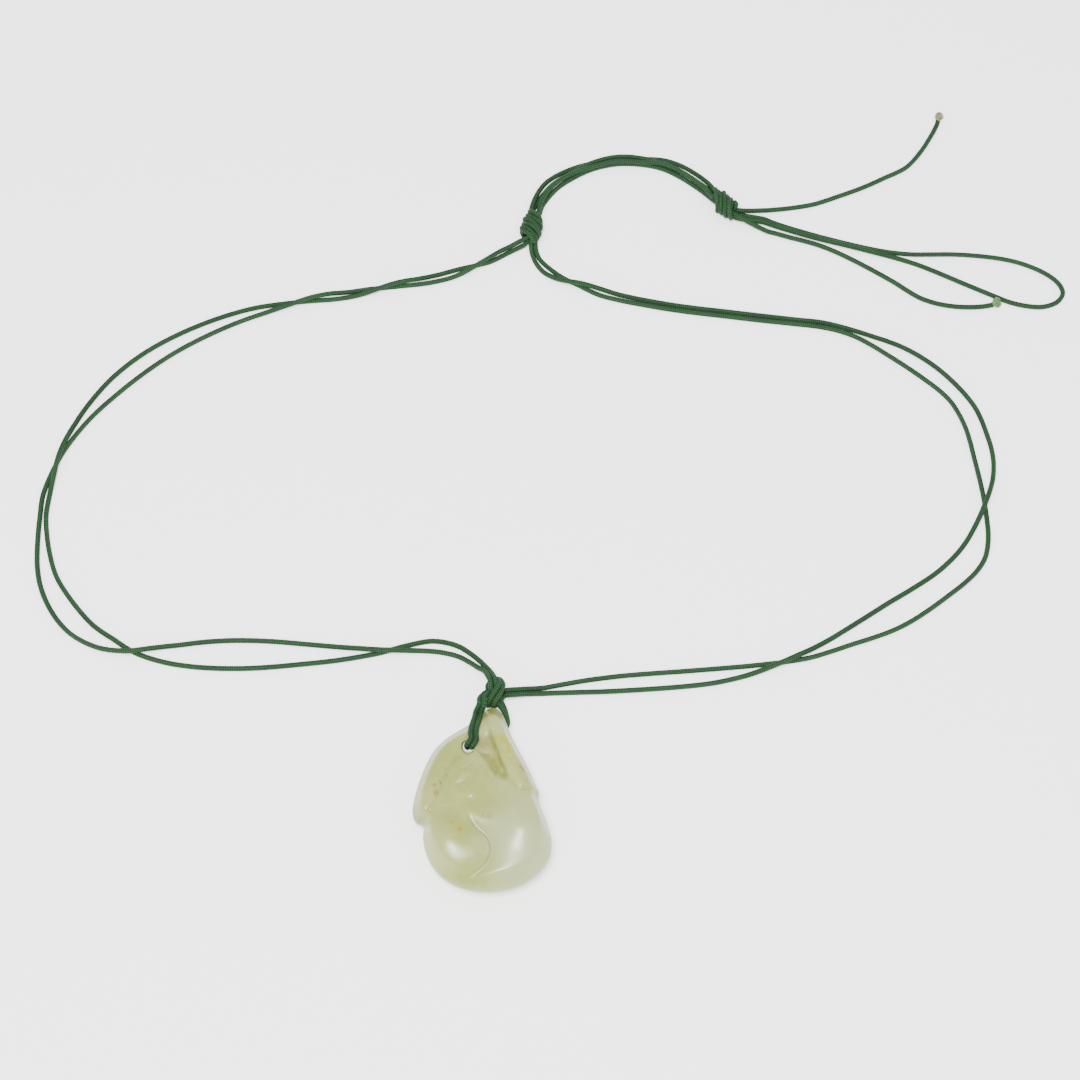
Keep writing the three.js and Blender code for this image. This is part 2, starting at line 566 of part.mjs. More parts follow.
const toggleKnot = bandedKnot('toggle_knot', TOGGLE_KNOT_LENGTH, TOGGLE_KNOT_DIAMETER, 4, TOGGLE_KNOT_END);
toggleKnot.position.z = TOGGLE_KNOT_HEIGHT;
toggleKnot.rotation.z = Math.PI / 2;
cord.add(toggleKnot);

const slidingKnots = [
  ['sliding_knot_near', NEAR_KNOT_PLACE, NEAR_KNOT_TURN, 4],
  ['sliding_knot_far', FAR_KNOT_PLACE, FAR_KNOT_TURN, 5],
];
for (const [name, [x, y], turn, bands] of slidingKnots) {
  const knot = bandedKnot(name, SLIDING_KNOT_LENGTH, SLIDING_KNOT_DIAMETER, bands, SLIDING_KNOT_END);
  knot.position.set(x, y, SLIDING_KNOT_DIAMETER / 2);
  knot.rotation.z = THREE.MathUtils.degToRad(turn);
  cord.add(knot);
}

cord.add(cordTube('neck_cord_left_lower', routeCurve(NECK_LEFT_LOWER, LOWER_OVER), 40));
cord.add(cordTube('neck_cord_left_upper', routeCurve(NECK_LEFT_UPPER, UPPER_OVER), 40));
cord.add(cordTube('neck_cord_right_inner', routeCurve(NECK_RIGHT_INNER, INNER_OVER), 40));
cord.add(cordTube('neck_cord_right_outer', routeCurve(NECK_RIGHT_OUTER), 40));
cord.add(cordTube('end_loop', routeCurve(END_LOOP), 40));
cord.add(cordTube('free_end_upper', routeCurve(FREE_END_UPPER), 18));
cord.add(cordTube('free_end_lower', routeCurve(FREE_END_LOWER), 18));
CLOSURE_RUNS.forEach((run, i) => {
  cord.add(cordTube(`closure_cord_${i + 1}`, closureCurve(run), 12));
});

const jadeOnCord = new THREE.Group();
jadeOnCord.position.set(-RIM_MIDDLE[0] * planScale, -RIM_MIDDLE[1] * planScale, 0);
jadeOnCord.add(jadeToggle());
jadeOnCord.add(cordTube('toggle_loop_left', loopCurve(-1), 20));
jadeOnCord.add(cordTube('toggle_loop_right', loopCurve(1), 20));
jadeOnCord.add(cord);

export default jadeOnCord;
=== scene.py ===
"""A carved jade toggle on its long doubled braided cord, dressed for its looks.

Lengths are in millimetres unless a name says metres, and are scaled when a mesh is made.
"""

import logging
import math
from dataclasses import InitVar, dataclass
from enum import Enum
from typing import Callable, ClassVar, Sequence

import bmesh
import bpy
import numpy as np
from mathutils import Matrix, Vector

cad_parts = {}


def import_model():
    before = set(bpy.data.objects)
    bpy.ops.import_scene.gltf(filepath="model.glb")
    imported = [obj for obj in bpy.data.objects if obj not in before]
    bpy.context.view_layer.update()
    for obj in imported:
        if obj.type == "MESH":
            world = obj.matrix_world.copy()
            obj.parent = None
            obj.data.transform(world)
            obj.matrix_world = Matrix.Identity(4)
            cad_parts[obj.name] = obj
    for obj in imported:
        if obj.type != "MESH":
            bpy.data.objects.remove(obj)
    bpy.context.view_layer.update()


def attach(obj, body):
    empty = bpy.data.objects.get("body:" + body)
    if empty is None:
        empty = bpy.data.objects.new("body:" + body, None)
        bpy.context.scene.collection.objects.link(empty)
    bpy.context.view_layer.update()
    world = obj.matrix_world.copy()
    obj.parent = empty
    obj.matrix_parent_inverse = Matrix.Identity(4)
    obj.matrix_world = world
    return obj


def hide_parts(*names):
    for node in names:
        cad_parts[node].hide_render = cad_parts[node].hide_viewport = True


LOG = logging.getLogger("jade_toggle")
MILLIMETRE = 0.001
YARNS = 4  # that slant each way round the braid
YARN_PITCH = 1.15
BRAID_MAP = "braid"
Route = list[tuple[float, ...]]
Points = np.ndarray
Span = tuple[float, float]
Place = tuple[float, float, float]
Colour = tuple[float, float, float, float]


def smooth_step(start: float, end: float, value: Points) -> Points:
    """Eased share of the way from start to end.

    Args:
        start: value where the share is 0.
        end: value where the share is 1.
        value: the values to place between them.

    Returns:
        The eased shares, each from 0 to 1.
    """
    share = np.clip((value - start) / (end - start), 0.0, 1.0)
    return share * share * (3.0 - 2.0 * share)


def smooth_line(points: Sequence[Sequence[float]], closed: bool = False, fine: int = 24) -> Points:
    """Centripetal spline through the points.

    Args:
        points: places that the line goes through, with two or three numbers each.
        closed: whether the line returns to its first point.
        fine: how many places are worked out between two points.

    Returns:
        The places along the line, one row each.
    """
    knots = np.array(points, float)
    if closed:
        ring = np.vstack([knots[-1:], knots, knots[:2]])
    else:
        ring = np.vstack([2 * knots[0] - knots[1], knots, 2 * knots[-1] - knots[-2]])
    places = []
    for a, b, c, d in zip(ring[:-3], ring[1:-2], ring[2:-1], ring[3:]):
        ab = max(np.linalg.norm(b - a), 1e-6) ** 0.5
        bc = max(np.linalg.norm(c - b), 1e-6) ** 0.5
        cd = max(np.linalg.norm(d - c), 1e-6) ** 0.5
        start = (b - a) / ab - (c - a) / (ab + bc) + (c - b) / bc
        end = (c - b) / bc - (d - b) / (bc + cd) + (d - c) / cd
        t = np.linspace(0, 1, fine, endpoint=False)[:, None]
        blend = (2 * t**3 - 3 * t**2 + 1) * b + (t**3 - 2 * t**2 + t) * start * bc
        places.append(blend + (3 * t**2 - 2 * t**3) * c + (t**3 - t**2) * end * bc)
    line = np.vstack(places)
    return line if closed else np.vstack([line, knots[-1:]])


def line_length(line: Points) -> float:
    """Length of a line of places."""
    return float(np.linalg.norm(np.diff(line, axis=0), axis=1).sum())


def evenly_spaced(line: Points, gap: float) -> Points:
    """Places about one gap apart along a line.

    Args:
        line: the line's places.
        gap: the distance wanted between two places.

    Returns:
        The new places, with both ends kept.
    """
    run = np.concatenate([[0.0], np.cumsum(np.linalg.norm(np.diff(line, axis=0), axis=1))])
    wanted = np.linspace(0, run[-1], max(2, int(round(run[-1] / gap)) + 1))
    return np.stack([np.interp(wanted, run, line[:, k]) for k in range(line.shape[1])], axis=1)


def distance_to(line: Points, x: Points, y: Points, closed: bool = True) -> Points:
    """Distance in plan from places to a line.

    Args:
        line: the line's places.
        x: places to the right.
        y: places towards the stalk.
        closed: whether the line's last place joins its first.

    Returns:
        The distances.
    """
    best = np.full(x.shape, 1e9)
    ends = np.roll(line, -1, axis=0)
    count = len(line) if closed else len(line) - 1
    for a, b in zip(line[:count], ends[:count]):
        step = b - a
        along = ((x - a[0]) * step[0] + (y - a[1]) * step[1]) / max(float(step @ step), 1e-12)
        along = np.clip(along, 0, 1)
        best = np.minimum(best, np.hypot(x - a[0] - along * step[0], y - a[1] - along * step[1]))
    return best


class Region:
    """A carved region seen from the front, which knows how deep inside it a place is."""

    def __init__(self, points: Sequence[Sequence[float]]) -> None:
        """Draws the region's edge through the points."""
        self.edge = smooth_line(points, closed=True, fine=8)

    def depth(self, x: Points, y: Points) -> Points:
        """Depth inside the edge.

        Args:
            x: places to the right.
            y: places towards the stalk.

        Returns:
            The distance inside the edge, negative outside it.
        """
        inside = np.zeros(x.shape, bool)
        for a, b in zip(self.edge, np.roll(self.edge, 1, axis=0)):
            if a[1] != b[1]:
                crosses = (a[1] > y) != (b[1] > y)
                inside ^= crosses & (x < a[0] + (b[0] - a[0]) * (y - a[1]) / (b[1] - a[1]))
        return distance_to(self.edge, x, y) * np.where(inside, 1.0, -1.0)


@dataclass
class CarvedForm:
    """Heights of the toggle's carved front and plainer back over its outline.

    The surface it lies on has height 0. A span is two places along the stone, towards the stalk,
    unless its comment says otherwise.
    """

    rim_level: float = 6.2
    stalk_drop: float = 1.7
    stalk_drop_span: Span = (8, 25)
    front_swell: float = 5.35
    stalk_swell: float = 1.9
    front_swell_span: Span = (27, -12)
    front_rim_power: float = 2.9
    back_swell: float = 6.6
    stalk_back_swell: float = 1.7
    back_swell_span: Span = (24, -4)
    back_rim_power: float = 2.1
    back_seam_depth: float = 0.9
    back_seam_width: float = 1.5
    rest_spot_radius: float = 6.0
    rest_spot_fade: float = 3.0
    rest_spot_y: float = -6.0
    edge_fade: Span = (1, 0.84)  # shares of the way out
    stalk_thinning: float = 0.35
    stalk_thinning_span: Span = (12, 25)
    shoulder: float = 1.9
    left_lobe_run: float = 1.5
    right_lobe_run: float = 2.4
    cleft_lip: float = 0.4
    cleft_fade_span: Span = (-13, -6)
    dome_rise: float = 1.4
    dome_radius: float = 6.0
    recess_depth: float = 1.7
    recess_reach: float = 2.6
    recess_blend: float = 1.0
    centre_leaf_rise: float = 0.6
    centre_leaf_run: float = 1.0
    centre_leaf_blend: float = 0.5
    centre_leaf_sink: float = 0.1
    centre_leaf_fade: Span = (-8, 0)  # across the stone
    leaf_sink: float = 0.3
    leaf_fall: float = 5.0
    leaf_blend: float = 0.4
    left_leaf_rise: float = 1.4
    left_leaf_run: float = 0.9
    left_leaf_floor: float = 0.55
    right_leaf_rise: float = 1.7
    right_leaf_run: float = 1.1
    right_leaf_floor: float = 0.65
    lip_height: float = 0.28
    lip_width: float = 0.42
    lip_offset: Span = (0.75, 0.1)  # from the cleft, to the left and down
    lip_fade_span: Span = (-8, -13)
    leaf_edge_height: float = 0.34
    leaf_edge_width: float = 0.7
    vein_depth: float = 0.3
    vein_width: float = 0.4
    groove_depth: float = 0.3
    groove_width: float = 0.4
    crest_height: float = 0.45
    crest_place: Span = (10.6, -12.4)
    crest_reach: Span = (3.4, 3.0)

    HEART = (0.0, -3.5)
    MIDDLE = (0.1, 0.12)
    OUTLINE: ClassVar[Route] = [
        (2.5, 24.9), (4.6, 23.1), (5.8, 20), (6.7, 17), (8.7, 12.5), (11.3, 6.8), (13.2, 2.1), (13.8, 0.4),
        (13.6, -1.1), (14.6, -4.3), (16.1, -8.7), (16.9, -12.7), (16.4, -16.3), (14.5, -19.6), (11.3, -22.4),
        (7.6, -24.2), (3.8, -25), (0.2, -25.1), (-4.3, -24.3), (-8.6, -22.2), (-11.7, -19.1), (-13.6, -15.2),
        (-14.4, -11.4), (-14.3, -9.1), (-14.9, -7.6), (-16.4, -6.7), (-17.1, -4.7), (-16.7, -0.9),
        (-15.7, 3.3), (-14.2, 7.9), (-12.2, 12.1), (-10.3, 14.7), (-7.4, 17.3), (-4.1, 19.6), (-1.6, 21.9),
        (0.4, 24.1),
    ]
    LEFT_LOBE: ClassVar[Route] = [
        (-3.8, 4), (-3.4, -7.5), (-1.7, -10.6), (0.9, -12.9), (2.2, -15.2), (2.1, -17.6), (0.5, -20.2),
        (-2.1, -21.9), (-4.8, -23.3), (-6, -25), (-12, -30), (-24, -24), (-24, 6), (-12, 8),
    ]
    RIGHT_LOBE: ClassVar[Route] = [
        (-3.4, 4), (-3, -7.5), (-1.4, -10.4), (1.2, -12.7), (2.6, -15.2), (2.5, -17.8), (0.8, -20.5),
        (-1.9, -22.3), (-5.6, -23.6), (-4.2, -24.9), (-1, -26.4), (6, -32), (24, -26), (24, 6), (12, 8),
    ]
    CENTRE_LEAF: ClassVar[Route] = [
        (-1.2, 10.5), (0.6, 8.6), (2.2, 6.2), (3.2, 3.9), (2.9, 1.9), (1.3, -0.6), (-1.3, -2.7), (-4.6, -3.8),
        (-7.7, -3.9), (-10.4, -4.4), (-12.1, -3.2), (-10.6, 0.2), (-9.4, 3.4), (-7.3, 7), (-4, 9.4),
    ]
    LEFT_LEAF: ClassVar[Route] = [
        (-4.8, 11.2), (-5.7, 8.8), (-7.5, 6), (-8.7, 3), (-9.7, 0), (-10.8, -2.7), (-12.1, -5.4), (-13.5, -8),
        (-18, -12), (-24, -6), (-22, 8), (-12, 22), (-4, 26), (-2.6, 18), (-4, 13.4),
    ]
    RIGHT_LEAF: ClassVar[Route] = [
        (0.4, 20.5), (1.4, 16.5), (2.6, 12.6), (3.8, 9), (5, 5.6), (6.2, 2.7), (7.6, 0.5), (9.2, -0.8),
        (10.8, -0.5), (12.4, -0.2), (16, -0.4), (22, 2), (16, 18), (7, 30), (-1, 30), (-0.4, 24),
    ]
    RECESS: ClassVar[Route] = [
        (-1.6, 13), (0.8, 15.2), (2.4, 13.4), (4.2, 9.6), (5.8, 5.6), (5.8, 3.6), (4.6, 3.6), (3.2, 5.6),
        (1.6, 8.4), (-0.4, 10.6),
    ]
    BACK_SEAM: ClassVar[Route] = [(1, -25), (-2.2, -19), (-2.8, -12), (-0.8, -5), (1.4, 2), (1, 9)]
    CLEFT: ClassVar[Route] = [
        (-3.6, -6.5), (-3.2, -8.2), (-1.6, -10.5), (1, -12.8), (2.4, -15.2), (2.3, -17.7), (0.6, -20.3),
        (-2, -22.1), (-4.9, -23.2),
    ]
    VEINS: ClassVar[tuple[Route, ...]] = (
        [(-4.6, 6.6), (-3.2, 7.6), (-1.8, 8.9)],
        [(-5, 4.7), (-3.4, 5.6), (-2.4, 6.9)],
        [(-6.4, 0.6), (-4.6, 1.3), (-3.4, 2.6)],
    )
    LOBE_DOMES: ClassVar[Route] = [(-9, -14), (9.5, -9.5)]
    LEAF_EDGE: ClassVar[Route] = [(2.6, 3.6), (2.4, 2.2), (1.2, 0.2), (-0.6, -1.4), (-2.6, -2.7)]
    LEAF_GROOVE: ClassVar[Route] = [(8.6, 6.7), (10.4, 3.4), (11.9, 0.9)]

    def __post_init__(self) -> None:
        """Prepares the rim and the carved regions."""
        self.rim = smooth_line(self.OUTLINE, closed=True, fine=40)
        self.left_lobe = Region(self.LEFT_LOBE)
        self.right_lobe = Region(self.RIGHT_LOBE)
        self.centre_leaf = Region(self.CENTRE_LEAF)
        self.left_leaf = Region(self.LEFT_LEAF)
        self.right_leaf = Region(self.RIGHT_LEAF)
        self.recess = Region(self.RECESS)
        self.back_seam = smooth_line(self.BACK_SEAM)
        angle = np.arctan2(self.rim[:, 1] - self.HEART[1], self.rim[:, 0] - self.HEART[0])
        order = np.argsort(angle)
        self.rim_angle = angle[order]
        self.rim_reach = np.hypot(*(self.rim[order] - self.HEART).T)

    def reach(self, angle: Points) -> Points:
        """Distance from the heart to the rim in a direction."""
        return np.interp(angle, self.rim_angle, self.rim_reach, period=2 * np.pi)

    def share_out(self, x: Points, y: Points) -> Points:
        """Share of the way from the heart to the rim."""
        dx, dy = x - self.HEART[0], y - self.HEART[1]
        return np.minimum(1.0, np.hypot(dx, dy) / self.reach(np.arctan2(dy, dx)))

    def rim_height(self, y: Points) -> Points:
        """Height of the rim, which drops towards the stalk."""
        return self.rim_level - self.stalk_drop * smooth_step(*self.stalk_drop_span, y)

    @staticmethod
    def rounded(share: Points, power: float) -> Points:
        """Height share of a rounded side that is level in the middle and upright at the rim."""
        return np.maximum(0.0, 1.0 - share**power) ** (1.0 / power)

    @staticmethod
    def pillow(depth: Points, rise: float, run: float) -> Points:
        """Rise of a plump form from its edge inwards."""
        return np.where(depth > 0, rise * (1.0 - np.exp(-np.maximum(depth, 0.0) / run)), 0.0)

    def hollow(self, depth: Points, floor: float) -> Points:
        """Share of a leaf's rise that is left as it hollows out inwards."""
        return floor + (1 - floor) * np.exp(-np.maximum(depth, 0.0) / self.leaf_fall)

    def relief(self, x: Points, y: Points) -> Points:
        """Carving over the front's own swell.

        Args:
            x: places to the right.
            y: places towards the stalk.

        Returns:
            The height of the carving at each place.
        """
        shoulder = self.shoulder
        left_lobe = self.pillow(self.left_lobe.depth(x, y), shoulder + self.cleft_lip, self.left_lobe_run)
        right_lobe = self.pillow(self.right_lobe.depth(x, y), shoulder, self.right_lobe_run)
        level = left_lobe + right_lobe
        level = level + (shoulder - level) * smooth_step(*self.cleft_fade_span, y)
        for dome_x, dome_y in self.LOBE_DOMES:
            away = (x - dome_x) ** 2 + (y - dome_y) ** 2
            level = level + self.dome_rise * np.exp(-away / self.dome_radius**2)
        centre, left, right = (r.depth(x, y) for r in (self.centre_leaf, self.left_leaf, self.right_leaf))
        plump = self.pillow(centre, self.centre_leaf_rise, self.centre_leaf_run) - self.centre_leaf_sink
        centre_top = shoulder + smooth_step(*self.centre_leaf_fade, x) * plump
        blend = self.centre_leaf_blend
        level = level + (centre_top - level) * smooth_step(-blend, blend, centre)
        recess = smooth_step(-self.recess_reach, self.recess_blend, self.recess.depth(x, y))
        level = level - self.recess_depth * recess
        left_plump = self.pillow(left, self.left_leaf_rise, self.left_leaf_run)
        right_plump = self.pillow(right, self.right_leaf_rise, self.right_leaf_run)
        left_top = shoulder - self.leaf_sink + left_plump * self.hollow(left, self.left_leaf_floor)
        right_top = shoulder - self.leaf_sink + right_plump * self.hollow(right, self.right_leaf_floor)
        blend = self.leaf_blend
        level = level + (left_top - level) * smooth_step(-blend, blend, left)
        level = level + (right_top - level) * smooth_step(-blend, blend, right)
        return level + self.fine_relief(x, y)

    @staticmethod
    def ridge(route: Route, width: float, x: Points, y: Points) -> Points:
        """Share from 0 to 1 of a soft ridge along a route.

        Args:
            route: places along the ridge.
            width: how far from its line it falls to about a third.
            x: places to the right.
            y: places towards the stalk.

        Returns:
            The share at each place.
        """
        return np.exp(-((distance_to(smooth_line(route), x, y, closed=False) / width) ** 2))

    def fine_relief(self, x: Points, y: Points) -> Points:
        """Thin lip along the cleft, edge and veins of the middle leaf, crest and groove.

        Args:
            x: places to the right.
            y: places towards the stalk.

        Returns:
            The height of the fine carving at each place.
        """
        beside_cleft = [(px - self.lip_offset[0], py - self.lip_offset[1]) for px, py in self.CLEFT]
        lip = self.lip_height * smooth_step(*self.lip_fade_span, y)
        lip = lip * self.ridge(beside_cleft, self.lip_width, x, y)
        veins = sum(self.ridge(vein, self.vein_width, x, y) for vein in self.VEINS)
        edge = self.leaf_edge_height * self.ridge(self.LEAF_EDGE, self.leaf_edge_width, x, y)
        groove = self.groove_depth * self.ridge(self.LEAF_GROOVE, self.groove_width, x, y)
        crest_x, crest_y = self.crest_place
        away = ((x - crest_x) / self.crest_reach[0]) ** 2 + ((y - crest_y) / self.crest_reach[1]) ** 2
        crest = self.crest_height * np.exp(-away)
        return lip + edge + crest - self.vein_depth * veins - groove

    def front(self, x: Points, y: Points, share: Points | None = None) -> Points:
        """Height of the carved front.

        Args:
            x: places to the right.
            y: places towards the stalk.
            share: share of the way out to the rim, where it is known already.

        Returns:
            The height at each place.
        """
        share = self.share_out(x, y) if share is None else share
        fullness = smooth_step(*self.front_swell_span, y)
        swell = self.stalk_swell + (self.front_swell - self.stalk_swell) * fullness
        fade = smooth_step(*self.edge_fade, share)
        fade = fade * (1 - self.stalk_thinning * smooth_step(*self.stalk_thinning_span, y))
        rise = swell * self.rounded(share, self.front_rim_power)
        return self.rim_height(y) + rise + self.relief(x, y) * fade

    def back(self, x: Points, y: Points, share: Points | None = None) -> Points:
        """Height of the plainer back, which never goes below the surface it lies on.

        Args:
            x: places to the right.
            y: places towards the stalk.
            share: share of the way out to the rim, where it is known already.

        Returns:
            The height at each place.
        """
        share = self.share_out(x, y) if share is None else share
        fullness = smooth_step(*self.back_swell_span, y)
        swell = self.stalk_back_swell + (self.back_swell - self.stalk_back_swell) * fullness
        away = distance_to(self.back_seam, x, y, closed=False)
        seam = self.back_seam_depth * np.exp(-((away / self.back_seam_width) ** 2))
        spot = self.rest_spot_radius
        level = smooth_step(spot + self.rest_spot_fade, spot, np.hypot(x, y - self.rest_spot_y))
        height = self.rim_height(y) - swell * self.rounded(share, self.back_rim_power)
        return np.maximum(0.0, height + seam * smooth_step(*self.edge_fade, share) * (1 - level))


@dataclass
class CordHole:
    """The slanted hole drilled through the stalk end, wider at both mouths."""

    form: CarvedForm
    diameter: float = 3.0
    flare: float = 0.1
    slant_degrees: float = 24.0
    place: Span = (-3.65, 11.1)

    @staticmethod
    def level(side: Callable, x: float, y: float) -> float:
        """Height of one face of the stone at a single place."""
        return float(side(np.array([x]), np.array([y]))[0])

    def __post_init__(self) -> None:
        """Finds where the hole's axis meets both faces."""
        slant = math.radians(self.slant_degrees)
        x, y = self.place
        top = self.level(self.form.front, x, y)
        back_y = y + (top - self.level(self.form.back, x, y)) * math.tan(slant)
        bottom = self.level(self.form.back, x, back_y)
        self.axis = np.array([0.0, -math.sin(slant), math.cos(slant)])
        self.across = np.array([0.0, math.cos(slant), math.sin(slant)])
        self.foot = np.array([x, back_y, bottom])
        self.depth = (top - bottom) / math.cos(slant)


class Value:
    """A socket with numbers on it, so that masks are written as sums."""

    def __init__(self, nodes: "NodeBoard", socket: bpy.types.NodeSocket) -> None:
        """Holds the socket and the board that it is on."""
        self.nodes = nodes
        self.socket = socket

    def _maths(self, operation: str, *inputs: "Value | float") -> "Value":
        """Adds one Math node and returns its result."""
        return self.nodes.add("ShaderNodeMath", {"operation": operation}, dict(enumerate(inputs)))

    def __add__(self, other: "Value | float") -> "Value":
        """Sum."""
        return self._maths("ADD", self, other)

    def __sub__(self, other: "Value | float") -> "Value":
        """Difference."""
        return self._maths("SUBTRACT", self, other)

    def __rsub__(self, other: "Value | float") -> "Value":
        """Difference from a number."""
        return self._maths("SUBTRACT", other, self)

    def __mul__(self, other: "Value | float") -> "Value":
        """Product."""
        return self._maths("MULTIPLY", self, other)

    __radd__ = __add__
    __rmul__ = __mul__

    def sine(self) -> "Value":
        """Sine of the value."""
        return self._maths("SINE", self)

    def eased(self, start: float, end: float) -> "Value":
        """Eased share of the way from start to end."""
        inputs = {"Value": self, "From Min": start, "From Max": end}
        return self.nodes.add("ShaderNodeMapRange", {"interpolation_type": "SMOOTHSTEP"}, inputs)


class NodeBoard:
    """A material's nodes."""

    def __init__(self, name: str) -> None:
        """Starts a material with one Principled shader."""
        self.material = bpy.data.materials.new(name)
        self.material.use_nodes = True
        self.tree = self.material.node_tree
        self.shader = self.tree.nodes["Principled BSDF"]

    def add(
        self, kind: str, settings: dict | None = None, inputs: dict | None = None, output: int | str = 0,
    ) -> Value:
        """Adds a node.

        Args:
            kind: the node's type.
            settings: attributes of the node, set before its sockets.
            inputs: a value or a link for each socket.
            output: which socket is the answer.

        Returns:
            The wrapped output socket.
        """
        node = self.tree.nodes.new(kind)
        for key, value in (settings or {}).items():
            setattr(node, key, value)
        for key, value in (inputs or {}).items():
            self.feed(node.inputs[key], value)
        return Value(self, node.outputs[output])

    def feed(self, socket: bpy.types.NodeSocket, value: "Value | float | Sequence[float]") -> None:
        """Links or sets one socket.

        Args:
            socket: the socket to feed.
            value: a value to link, or the number or numbers to set.
        """
        if isinstance(value, Value):
            self.tree.links.new(value.socket, socket)
        else:
            socket.default_value = value

    def shade(self, **inputs: "Value | float | Sequence[float]") -> None:
        """Feeds the shader's sockets.

        Args:
            inputs: a value or a link for each socket, named with underscores for spaces.
        """
        for key, value in inputs.items():
            self.feed(self.shader.inputs[key.replace("_", " ")], value)

    def place(self) -> Value:
        """Object coordinates in millimetres."""
        spot = self.add("ShaderNodeTexCoord", output="Object")
        scale = {"Vector": spot, "Scale": (1000.0, 1000.0, 1000.0)}
        return self.add("ShaderNodeMapping", {"vector_type": "POINT"}, scale)

    def part(self, spot: Value, axis: int) -> Value:
        """One of a place's three numbers."""
        return self.add("ShaderNodeSeparateXYZ", {}, {0: spot}, output=axis)

    def noise(self, spot: Value, scale: float, detail: float = 4.0, rough: float = 0.55) -> Value:
        """Cloudy noise from 0 to 1 round 0.5, with a scale per millimetre."""
        inputs = {"Vector": spot, "Scale": scale, "Detail": detail, "Roughness": rough}
        return self.add("ShaderNodeTexNoise", {}, inputs)

    def bump(self, height: Value, strength: float, metres: float) -> Value:
        """A surface direction disturbed by small heights.

        Args:
            height: the heights, from 0 to 1.
            strength: how much of them shows.
            metres: how high a height of 1 is.

        Returns:
            The direction.
        """
        return self.add("ShaderNodeBump", {}, {"Height": height, "Strength": strength, "Distance": metres})

    def spot_mask(self, spot: Value, centre: Sequence[float], radius: float, soft: float) -> Value:
        """Mask that is 1 round a place and eases to 0.

        Args:
            spot: Object coordinates in millimetres.
            centre: the middle of the patch.
            radius: how far the patch reaches.
            soft: the width of its soft edge.

        Returns:
            The mask.
        """
        settings = {"operation": "DISTANCE"}
        away = self.add("ShaderNodeVectorMath", settings, {0: spot, 1: tuple(centre)}, output="Value")
        return away.eased(radius, radius - soft)

    def mix(self, mask: "Value | float", first: "Value | Colour", second: "Value | Colour") -> Value:
        """Blends two colours.

        Args:
            mask: 0 for the first colour and 1 for the second.
            first: the colour that is there.
            second: the colour that is laid over it.

        Returns:
            The blended colour.
        """
        return self.add("ShaderNodeMix", {"data_type": "RGBA"}, {0: mask, 6: first, 7: second}, output=2)


def linear_share(value: int) -> float:
    """Linear share of one display value of 0 to 255."""
    share = value / 255
    return share / 12.92 if share <= 0.04045 else ((share + 0.055) / 1.055) ** 2.4


def linear(red: int, green: int, blue: int) -> Colour:
    """Linear colour with full alpha from display values of 0 to 255."""
    return (linear_share(red), linear_share(green), linear_share(blue), 1.0)


@dataclass(frozen=True)
class Mark:
    """A soft coloured patch on the stone's front."""

    x: float
    y: float
    radius: float
    soft: float
    strength: float
    grain: float = 0.35


